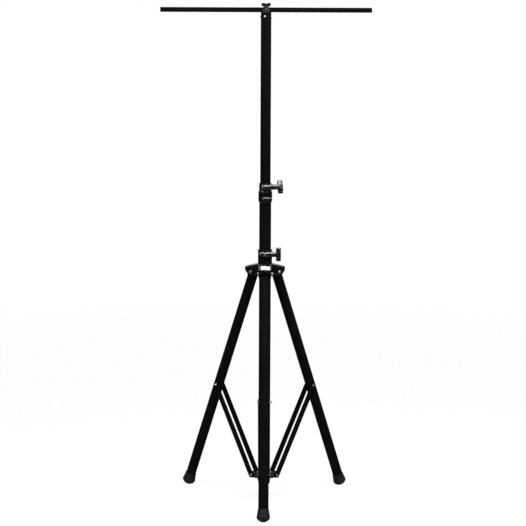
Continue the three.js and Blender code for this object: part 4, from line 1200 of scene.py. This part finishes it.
class STAND_OT_struts(bpy.types.Operator):
    """Model the flat strips of the struts and the rivets in their lower ends"""
    bl_idname = "stand.struts"
    bl_label = "Struts"

    def execute(self, context):
        legs, bolts = context.scene.stand_legs, context.scene.stand_fasteners
        outer = legs.strip_inner + legs.strip_thickness
        for end, left in (("a", -outer), ("b", legs.strip_inner)):
            at_each_leg(flat_strip("flat_strip_" + end, legs, bolts, left), strut_place, "black_paint",
                        "strut_strip_" + end)
        for end, turn in (("a", math.pi), ("b", 0.0)):
            at_each_leg(domed_rivet("rivet_" + end, legs, bolts, turn), strut_place, "zinc",
                        "strut_rivet_" + end)
        return {"FINISHED"}


# Spreader bracket at the foot of the mast, with the rivets' height as zero

def bracket_arm(bracket):
    reach = BRACKET_REACH + bracket.nose
    outline = [
        (0, -bracket.drop),
        *bend((BRACKET_REACH, -bracket.drop), (reach, -bracket.drop), (reach, 0)),
        *bend((reach, 0), (reach, bracket.rise), (BRACKET_REACH, bracket.rise)),
        (0, bracket.rise),
    ]
    arm = slab("bracket_arm", outline, -bracket.half, bracket.half)
    return softened(arm, bracket.wall / 3, limit=FLAT_EDGE_ANGLE)


def bracket_pocket(bracket):
    inner = bracket.half - bracket.wall
    start = bracket.core - bracket.wall
    end = BRACKET_REACH + bracket.nose - bracket.wall
    roof = bracket.rise - bracket.wall
    return slab("bracket_pocket", [
        (start, -bracket.drop - OVERRUN), (end - bracket.wall, -bracket.drop - OVERRUN), (end, 0),
        (end - bracket.wall, roof), (start, roof),
    ], -inner, inner)


def radial_hole(place, bolts):
    hole = rod("screw_hole", bolts.screw_radius + GAP, -bolts.screw_depth - OVERRUN, OVERRUN)
    return placed(hole, place @ Matrix.Translation((0, 0, -GAP)))


def screw_place(node, surface):
    """The place on a round surface under a screw's head, with Z pointing outwards."""
    screw, centre = middle(node), middle("lower_mast_tube")
    turn = math.atan2(screw.x - centre.x, centre.y - screw.y)
    return mast_place(screw.z, turn) @ OUTWARDS @ Matrix.Translation((0, 0, surface + GAP))


class STAND_OT_spreader_bracket(bpy.types.Operator):
    """Model the three-armed bracket that the struts turn on"""
    bl_idname = "stand.spreader_bracket"
    bl_label = "Spreader bracket"

    def execute(self, context):
        scene = context.scene
        bracket, bolts, mast = scene.stand_bracket, scene.stand_fasteners, scene.stand_mast
        core = softened(rod("bracket_casting", bracket.core, -bracket.drop, bracket.rise, FINE_SIDES),
                        bracket.wall / 3)
        fused(core, *around(bracket_arm(bracket)))
        cut(core, *around(bracket_pocket(bracket)))
        half = bracket.half + OVERRUN
        pivot = hole_across("rivet_hole", bolts.rivet_radius + GAP, -half, half, BRACKET_REACH)
        cut(core, *around(pivot), rod("bracket_bore", mast.lower_radius + GAP, -bracket.drop - OVERRUN,
                                      bracket.rise + OVERRUN, FINE_SIDES))
        placed(core, mast_place(BRACKET_PIVOT.z))
        cut(core, *(radial_hole(screw_place(node, bracket.core), bolts) for node in BRACKET_SCREWS))
        finished(core, "black_casting", "spreader_bracket")
        return {"FINISHED"}


# Bolts, nuts and screws, along Z with the head's bearing face at zero

def thread(radius, pitch, start, end):
    """The outline of a thread's crests and roots from start up to end."""
    turns = max(1, int((end - start) / pitch))
    root = radius - pitch / 3
    points = [(radius, start)]
    for i in range(turns):
        points += [(root, start + (i + 0.5) * pitch), (radius, start + (i + 1) * pitch)]
    points[-1] = (root, end)
    return points


def hexagon(name, flats, low, high, dome=0.0):
    """A hexagonal prism with its corners turned down at both ends, or with a dome on its low end."""
    corner = flats * 2 / ROOT_THREE
    drop = (corner - flats) / ROOT_THREE
    blank = softened(rod(name, corner, low, high, HEX_SIDES), drop / 4, segments=2)
    outside = corner + OVERRUN
    fall = drop * (outside - flats) / (corner - flats)
    if dome:
        outline = [*bend((0, low), (flats * BOLT_CROWN_SHARE, low), (outside, low + dome)),
                   (outside, high + GAP), (0, high + GAP)]
    else:
        outline = [(0, low), (flats, low), (outside, low + fall), (outside, high - fall), (flats, high),
                   (0, high)]
    return common(blank, turned("hex_chamfer", outline, ROUND_SIDES))


def hex_bolt(name, shank, flats, head, reach, threaded, pitch):
    """A bolt whose domed head lies below zero and whose shank rises to its reach."""
    stem = turned(name, [
        (0, -head / 2), (shank, -head / 2), *thread(shank, pitch, reach - threaded, reach), (0, reach),
    ], SMALL_SIDES)
    return fused(stem, hexagon("bolt_head", flats, -head, 0, head * BOLT_DOME_SHARE))


def hex_nut(name, shank, flats, height):
    nut = hexagon(name, flats, 0, height)
    bore = turned("nut_bore", [
        (0, -OVERRUN), (shank + OVERRUN / 2 + GAP, -OVERRUN), (shank + GAP, OVERRUN / 4),
        (shank + GAP, height - OVERRUN / 4), (shank + OVERRUN / 2 + GAP, height + OVERRUN),
        (0, height + OVERRUN),
    ], SMALL_SIDES)
    return cut(nut, bore)


def pan_screw(name, bolts):
    """A pan-head screw with a cross in its head, which lies above zero."""
    radius, height = bolts.screw_head, bolts.screw_height
    crown = bend((radius, height / 4), (radius * SCREW_CROWN_SHARE, height), (0, height))
    screw = turned(name, [
        (0, -bolts.screw_depth), (bolts.screw_radius / 2, -bolts.screw_depth),
        (bolts.screw_radius, -bolts.screw_depth + bolts.screw_radius), (bolts.screw_radius, 0), (radius, 0),
        *crown,
    ], SMALL_SIDES)
    long, narrow = bolts.recess, bolts.recess / 5
    for across, along in ((long, narrow), (narrow, long)):
        outline = [(x * across, y * along) for x, y in CORNERS]
        cut(screw, board("cross_recess", outline, height * RECESS_FLOOR_SHARE, height + OVERRUN))
    return screw


class STAND_OT_clamp_bolts(bpy.types.Operator):
    """Model the two clamp bolts and the collar's lower bolt"""
    bl_idname = "stand.clamp_bolts"
    bl_label = "Clamp bolts"

    def execute(self, context):
        scene = context.scene
        bolts, mast = scene.stand_fasteners, scene.stand_mast
        span = mast.ear_half + mast.ear_half + GAP + GAP
        reach = span + scene.stand_knobs.screw
        master = hex_bolt("clamp_screw", bolts.clamp_shank, bolts.clamp_flats, bolts.clamp_head, reach,
                          scene.stand_knobs.screw, bolts.pitch)
        for name, joint, node in (("mast_clamp_screw", "mast_knob_turn", "mast_clamp_bolt"),
                                  ("hub_clamp_screw", "hub_knob_turn", "hub_clamp_bolt")):
            place = joint_place(joint) @ ALONG_X @ Matrix.Translation((0, 0, -span))
            finished(placed(twin(master, name), place), "zinc", node)
        bpy.data.objects.remove(master, do_unlink=True)
        face = mast.pinch_half + GAP
        lower = hex_bolt("pinch_screw", bolts.pinch_shank, bolts.pinch_flats, bolts.pinch_head,
                         face + mast.pinch_half + bolts.bolt_end, mast.pinch_half, bolts.pitch)
        place = (mast_place(COLLAR_FOOT + mast.pinch_rise, COLLAR_TURN)
                 @ Matrix.Translation((-face, -mast.pinch_reach, 0)) @ ALONG_X)
        finished(placed(lower, place), "zinc", "mast_pinch_bolt")
        return {"FINISHED"}


def hub_joint_place(side):
    """A leg's pivot, with Z along its bolt."""
    return joint_place(side + "_leg_hinge") @ ALONG_X


def leg_joint_place(side):
    """The strut's pivot, turned with the leg, with Z along its bolt."""
    return leg_place(side) @ Matrix.Translation((0, 0, -STRUT_DISTANCE)) @ ALONG_X


class STAND_OT_pivot_bolts(bpy.types.Operator):
    """Model the bolts and nuts that the legs and struts turn on"""
    bl_idname = "stand.pivot_bolts"
    bl_label = "Pivot bolts"

    def execute(self, context):
        scene = context.scene
        bolts, legs, hub = scene.stand_fasteners, scene.stand_legs, scene.stand_hub
        face = hub.arm_half + GAP
        reach = face + face + bolts.nut + bolts.bolt_end
        pivot = hex_bolt("pivot_screw", bolts.clamp_shank, bolts.clamp_flats, bolts.clamp_head, reach,
                         bolts.nut + bolts.bolt_end + bolts.nut, bolts.pitch)
        at_each_leg(pivot, lambda side: hub_joint_place(side) @ Matrix.Translation((0, 0, -face)), "zinc",
                    "leg_pivot_bolt")
        nut = hex_nut("pivot_lock_nut", bolts.clamp_shank, bolts.clamp_flats, bolts.nut)
        at_each_leg(nut, lambda side: hub_joint_place(side) @ Matrix.Translation((0, 0, face)), "zinc",
                    "leg_pivot_nut")
        outer = legs.strip_inner + legs.strip_thickness + GAP
        reach = outer + outer + bolts.thin_nut + bolts.long_bolt_end
        strut = hex_bolt("strut_screw", bolts.pinch_shank, bolts.strut_flats, bolts.strut_head, reach,
                         bolts.thin_nut + bolts.long_bolt_end + bolts.thin_nut, bolts.pitch)
        at_each_leg(strut, lambda side: leg_joint_place(side) @ Matrix.Translation((0, 0, -outer)), "zinc",
                    "strut_bolt")
        thin = hex_nut("strut_lock_nut", bolts.pinch_shank, bolts.strut_flats, bolts.thin_nut)
        at_each_leg(thin, lambda side: leg_joint_place(side) @ Matrix.Translation((0, 0, outer)), "zinc",
                    "strut_nut")
        return {"FINISHED"}


class STAND_OT_screws(bpy.types.Operator):
    """Model the screws of the spreader bracket and the T-bar head"""
    bl_idname = "stand.screws"
    bl_label = "Screws"

    def execute(self, context):
        scene = context.scene
        master = pan_screw("screw", scene.stand_fasteners)
        surfaces = ((BRACKET_SCREWS, scene.stand_bracket.core), (HEAD_SCREWS, scene.stand_mast.upper_radius))
        for nodes, surface in surfaces:
            for node in nodes:
                screw = placed(twin(master, node.replace("screw", "pan_screw")), screw_place(node, surface))
                finished(screw, "zinc", node)
        bpy.data.objects.remove(master, do_unlink=True)
        return {"FINISHED"}


# The head on the upper tube, and the cross bar through its window

def head_casting(head, mast, bolts):
    """The domed plug in the upper tube's top, with its window and holes."""
    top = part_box("upper_mast_tube")[1].z
    floor = top + head.shoulder
    ceiling = floor + head.bar_side + GAP + GAP
    roof = ceiling + head.roof
    spigot = mast.upper_radius - mast.wall - GAP
    base = top + GAP
    side = []
    for i in range(1, ARC_STEPS * 2 + 1):
        share = i / (ARC_STEPS * 2)
        ease = 1 - math.cos(share * math.pi / 2)
        side.append((mast.upper_radius + (head.cheek_radius - mast.upper_radius) * ease,
                     floor + (ceiling - floor) * share))
    edge = (head.cheek_radius - head.roof_radius) / 2
    casting = softened(turned("head_casting", [
        (0, base), (head.spigot_bore, base), (head.spigot_bore, base - head.spigot),
        (spigot, base - head.spigot), (spigot, base), (mast.upper_radius, base), (mast.upper_radius, floor),
        *side, (head.roof_radius, roof), (0, roof),
    ]), edge, limit=HEAD_EDGE_ANGLE)
    half = head.bar_side / 2 + GAP
    reach = mast.upper_radius * 2
    window = board("head_window", [(x * reach, y * half) for x, y in CORNERS], floor, ceiling)
    hole = rod("head_thread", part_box("head_knob_screw")[1].x + GAP, ceiling - OVERRUN, roof + OVERRUN)
    cut(casting, window, hole)
    placed(casting, mast_place(0.0))
    return cut(casting, *(radial_hole(screw_place(node, mast.upper_radius), bolts)
                          for node in HEAD_SCREWS))


class STAND_OT_tbar_head(bpy.types.Operator):
    """Model the domed head with the window for the cross bar"""
    bl_idname = "stand.tbar_head"
    bl_label = "T-bar head"

    def execute(self, context):
        scene = context.scene
        finished(head_casting(scene.stand_head, scene.stand_mast, scene.stand_fasteners), "black_casting",
                 "tbar_head")
        return {"FINISHED"}


def square_bar(name, half, corner, left, right):
    outline = rounded_box(half, half, corner)
    return extruded(name, [(left, y, z) for y, z in outline], (right - left, 0, 0))


class STAND_OT_cross_bar(bpy.types.Operator):
    """Draw the square cross bar and mould its end caps"""
    bl_idname = "stand.cross_bar"
    bl_label = "Cross bar"

    def execute(self, context):
        head = context.scene.stand_head
        place = mast_place(middle("tbar_tube").z)
        half, inner = head.bar_side / 2, head.bar_side / 2 - head.bar_wall
        low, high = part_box("tbar_tube")
        bar = square_bar("square_tube", half, head.bar_corner, low.x, high.x)
        cut(bar, square_bar("tube_bore", inner, head.bar_corner / 2, low.x - OVERRUN, high.x + OVERRUN))
        finished(placed(bar, place), "black_paint", "tbar_tube")
        face = high.x + GAP
        for side, turn in (("left", math.pi), ("right", 0)):
            cap = softened(square_bar("end_cap_" + side, half, head.bar_corner, face, face + head.cap_flange),
                           head.cap_flange / 3, limit=FLAT_EDGE_ANGLE)
            spigot = square_bar("cap_spigot", inner - GAP, head.bar_corner / 2, face - head.cap_depth + GAP,
                                face + head.cap_flange / 2)
            fused(cap, spigot)
            finished(placed(cap, place @ Matrix.Rotation(turn, 4, "Z")), "black_plastic", "tbar_cap_" + side)
        return {"FINISHED"}


class STAND_OT_wing_knob(bpy.types.Operator):
    """Mould the wing knob that clamps the cross bar, and cut its screw"""
    bl_idname = "stand.wing_knob"
    bl_label = "Wing knob"

    def execute(self, context):
        scene = context.scene
        knobs = scene.stand_knobs
        finished(placed(wing_knob(knobs), mast_place(0.0, knobs.wing_turn)), "black_plastic", "head_knob")
        low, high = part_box("head_knob_screw")
        screw = turned("wing_screw", [(0, low.z), *thread(high.x, scene.stand_fasteners.pitch, low.z, high.z),
                                      (0, high.z)], SMALL_SIDES)
        finished(placed(screw, mast_place(0.0)), "zinc", "head_knob_screw")
        return {"FINISHED"}


# Finishes and stage

class STAND_OT_finishes(bpy.types.Operator):
    """Make the finishes and put the nylon finish on the guide bush"""
    bl_idname = "stand.finishes"
    bl_label = "Finishes"

    def execute(self, context):
        tints = context.scene.stand_colours
        build_skin_group()
        build_dust_group()
        build_rub_group()
        finish_material("black_paint", tints.paint, tints.dust, roughness=0.6, gloss_change=0.05,
                        grain=1500.0, cloud=9.0, shade_change=0.1, specular=0.02, relief=0.12,
                        dust_amount=0.01, rub=0.06)
        finish_material("black_casting", tints.casting, tints.dust, roughness=0.2, grain=800.0, cloud=30.0,
                        specular=0.9, relief=0.03, dust_amount=0.02, dull_above=HEAD_FOOT - DULL_MARGIN)
        finish_material("black_plastic", tints.plastic, tints.dust, roughness=0.2, grain=2400.0, cloud=40.0,
                        shade_change=0.08, specular=0.9, relief=0.02, dust_amount=0.02, rub=0.05,
                        dull_above=HEAD_FOOT - DULL_MARGIN)
        finish_material("black_rubber", tints.rubber, tints.dust, roughness=0.42, grain=1100.0, cloud=55.0,
                        shade_change=0.2, specular=0.3, relief=0.15, dust_amount=0.03)
        finish_material("dark_nylon", tints.nylon, tints.dust, roughness=0.5, grain=2000.0, cloud=35.0,
                        specular=0.3, relief=0.1)
        finish_material("zinc", tints.zinc, tints.dust, roughness=0.42, gloss_change=0.08, grain=2600.0,
                        cloud=260.0, shade_change=0.12, metallic=1.0, specular=0.5, relief=0.08)
        # The front arm's white patch, a painted highlight
        finish_material("white_plate", tints.highlight_patch, tints.dust, roughness=0.3, grain=1800.0, cloud=60.0,
                        shade_change=0.02, specular=0.5, relief=0.05)
        bush = frame["nodes"]["guide_bush"]
        for place in bush.material_slots:
            place.material = bpy.data.materials["finish_dark_nylon"]
        return {"FINISHED"}


def surface_of_floor(tint, near_share):
    """A pale floor, seen as white, that takes the stand's shadow near the stand."""
    made = bpy.data.materials.new("floor")
    made.use_nodes = True
    tree = made.node_tree
    tree.nodes.clear()
    path = tree.nodes.new("ShaderNodeLightPath")
    diffuse = tree.nodes.new("ShaderNodeBsdfDiffuse")
    diffuse.inputs["Color"].default_value = (*tint, 1)
    white = tree.nodes.new("ShaderNodeEmission")
    where = tree.nodes.new("ShaderNodeTexCoord").outputs["Object"]
    reach = tree.nodes.new("ShaderNodeVectorMath")
    reach.operation = "LENGTH"
    tree.links.new(where, reach.inputs[0])
    share = ranged(tree, reach.outputs["Value"], *WHITE_FLOOR, near_share, 1.0)
    toward = tree.nodes.new("ShaderNodeVectorMath")
    toward.operation = "NORMALIZE"
    tree.links.new(where, toward.inputs[0])
    split = tree.nodes.new("ShaderNodeSeparateXYZ")
    tree.links.new(toward.outputs["Vector"], split.inputs["Vector"])
    behind = calculate(tree, "MULTIPLY", ranged(tree, split.outputs["Y"], *BEHIND_ON_FLOOR, 0.0, 1.0),
                       ranged(tree, reach.outputs["Value"], *GLOSS_FLOOR, 0.0, 1.0))
    straight = calculate(tree, "MAXIMUM", path.outputs["Is Camera Ray"], path.outputs["Is Transmission Ray"])
    mirrored = calculate(tree, "MULTIPLY", path.outputs["Is Glossy Ray"], behind)
    tree.links.new(calculate(tree, "MAXIMUM", straight, mirrored), white.inputs["Strength"])
    seen = calculate(tree, "MAXIMUM", straight, path.outputs["Is Glossy Ray"])
    mix = tree.nodes.new("ShaderNodeMixShader")
    out = tree.nodes.new("ShaderNodeOutputMaterial")
    tree.links.new(calculate(tree, "MULTIPLY", seen, share), mix.inputs["Fac"])
    tree.links.new(diffuse.outputs[0], mix.inputs[1])
    tree.links.new(white.outputs[0], mix.inputs[2])
    tree.links.new(mix.outputs[0], out.inputs["Surface"])
    return made


def soft_lamp(name, start, end, width, target, power, across=1):
    """A soft lamp stretched between two spots, turned to its target, which the camera doesn't see.

    The spots are given from the mast's foot. Across is -1 for the mirrored lamp on the left.
    """
    start, end = (mast_place(0.0) @ Vector((across * x, y, z)) for x, y, z in (start, end))
    middle_spot = (start + end) / 2
    along = (end - start).normalized()
    side = along.cross(middle_spot - target).normalized()
    bpy.ops.object.light_add(type="AREA")
    lamp = bpy.context.object
    lamp.name = name
    turn = Matrix((side, along, side.cross(along))).transposed().to_4x4()
    lamp.matrix_world = Matrix.Translation(middle_spot) @ turn
    lamp.data.shape = "RECTANGLE"
    lamp.data.size, lamp.data.size_y = width, (end - start).length
    lamp.data.energy = power
    lamp.visible_camera = False
    return lamp


class STAND_OT_stage(bpy.types.Operator):
    """Lay the floor, hang the soft lamps, light the room and set the camera"""
    bl_idname = "stand.stage"
    bl_label = "Stage"

    def execute(self, context):
        scene = context.scene
        stage = scene.stand_stage
        centre = middle("lower_mast_tube")
        alone()
        bpy.ops.mesh.primitive_plane_add(size=FLOOR_SIZE, location=(0, 0, 0))
        floor = bpy.context.object
        floor.name = "floor"
        floor.data.materials.append(surface_of_floor(scene.stand_colours.floor, stage.near_share))
        soft_lamp("overhead", stage.key_start, stage.key_end, stage.key_width, centre, stage.key_power)
        for side, across in HANDS:
            soft_lamp("front_" + side, stage.fill_start, stage.fill_end, stage.fill_width, centre,
                      stage.fill_power, across)
        for side, across in HANDS:
            soft_lamp("side_" + side, stage.side_start, stage.side_end, stage.side_width, middle("leg_hub"),
                      stage.side_power, across)
        world = scene.world or bpy.data.worlds.new("room")
        scene.world = world
        world.use_nodes = True
        tree = world.node_tree
        tree.nodes.clear()
        path = tree.nodes.new("ShaderNodeLightPath")
        sky = tree.nodes.new("ShaderNodeBackground")
        sky.inputs["Color"].default_value = (1, 1, 1, 1)
        split = tree.nodes.new("ShaderNodeSeparateXYZ")
        tree.links.new(tree.nodes.new("ShaderNodeTexCoord").outputs["Generated"], split.inputs["Vector"])
        behind = ranged(tree, split.outputs["Y"], *BEHIND_IN_ROOM, 0.0, 1.0)
        seen = calculate(tree, "ADD", path.outputs["Is Glossy Ray"], path.outputs["Is Transmission Ray"])
        backdrop = calculate(tree, "MULTIPLY", seen, behind)
        white = calculate(tree, "MAXIMUM", path.outputs["Is Camera Ray"], backdrop)
        dim = calculate(tree, "MULTIPLY_ADD", seen, stage.gloom - stage.ambient, stage.ambient)
        tree.links.new(calculate(tree, "MAXIMUM", white, dim), sky.inputs["Strength"])
        out = tree.nodes.new("ShaderNodeOutputWorld")
        tree.links.new(sky.outputs[0], out.inputs["Surface"])
        bpy.ops.object.camera_add()
        camera = bpy.context.object
        camera.name = "camera"
        camera.data.lens = stage.focal
        camera.data.sensor_width = SENSOR_WIDTH
        camera.data.clip_end = CLIP_END
        camera.matrix_world = (
            Matrix.Translation((stage.sideways, centre.y - stage.distance, stage.height))
            @ Matrix.Rotation(stage.yaw, 4, "Z")
            @ Matrix.Rotation(math.pi / 2 - stage.pitch, 4, "X")
            @ Matrix.Rotation(stage.roll, 4, "Z")
        )
        scene.camera = camera
        scene.view_settings.view_transform = "Standard"
        return {"FINISHED"}


OPERATORS = (
    STAND_OT_stage, STAND_OT_finishes, STAND_OT_mast_tubes, STAND_OT_mast_collar, STAND_OT_leg_hub,
    STAND_OT_painted_highlight_patch, STAND_OT_clamp_knobs, STAND_OT_legs, STAND_OT_feet, STAND_OT_struts,
    STAND_OT_spreader_bracket, STAND_OT_clamp_bolts, STAND_OT_pivot_bolts, STAND_OT_screws,
    STAND_OT_tbar_head, STAND_OT_cross_bar, STAND_OT_wing_knob,
)


class STAND_PT_panel(bpy.types.Panel):
    """Every step of the stand, in the order in which it is made"""
    bl_idname = "STAND_PT_panel"
    bl_label = "Lighting Stand"
    bl_space_type = "VIEW_3D"
    bl_region_type = "UI"
    bl_category = "Stand"

    def draw(self, context):
        for step in OPERATORS:
            self.layout.operator(step.bl_idname)


CLASSES = (*GROUPS.values(), *OPERATORS, STAND_PT_panel)


def register():
    for cls in CLASSES:
        bpy.utils.register_class(cls)
    for name, group in GROUPS.items():
        setattr(bpy.types.Scene, name, bpy.props.PointerProperty(type=group))


def unregister():
    for name in GROUPS:
        delattr(bpy.types.Scene, name)
    for cls in reversed(CLASSES):
        bpy.utils.unregister_class(cls)


def main():
    register()
    bpy.ops.stand.stage()
    bpy.ops.stand.finishes()
    bpy.ops.stand.mast_tubes()
    bpy.ops.stand.mast_collar()
    bpy.ops.stand.leg_hub()
    bpy.ops.stand.blank_plate()
    bpy.ops.stand.clamp_knobs()
    bpy.ops.stand.legs()
    bpy.ops.stand.feet()
    bpy.ops.stand.struts()
    bpy.ops.stand.spreader_bracket()
    bpy.ops.stand.clamp_bolts()
    bpy.ops.stand.pivot_bolts()
    bpy.ops.stand.screws()
    bpy.ops.stand.tbar_head()
    bpy.ops.stand.cross_bar()
    bpy.ops.stand.wing_knob()
    alone()


if __name__ == "__main__":
    main()
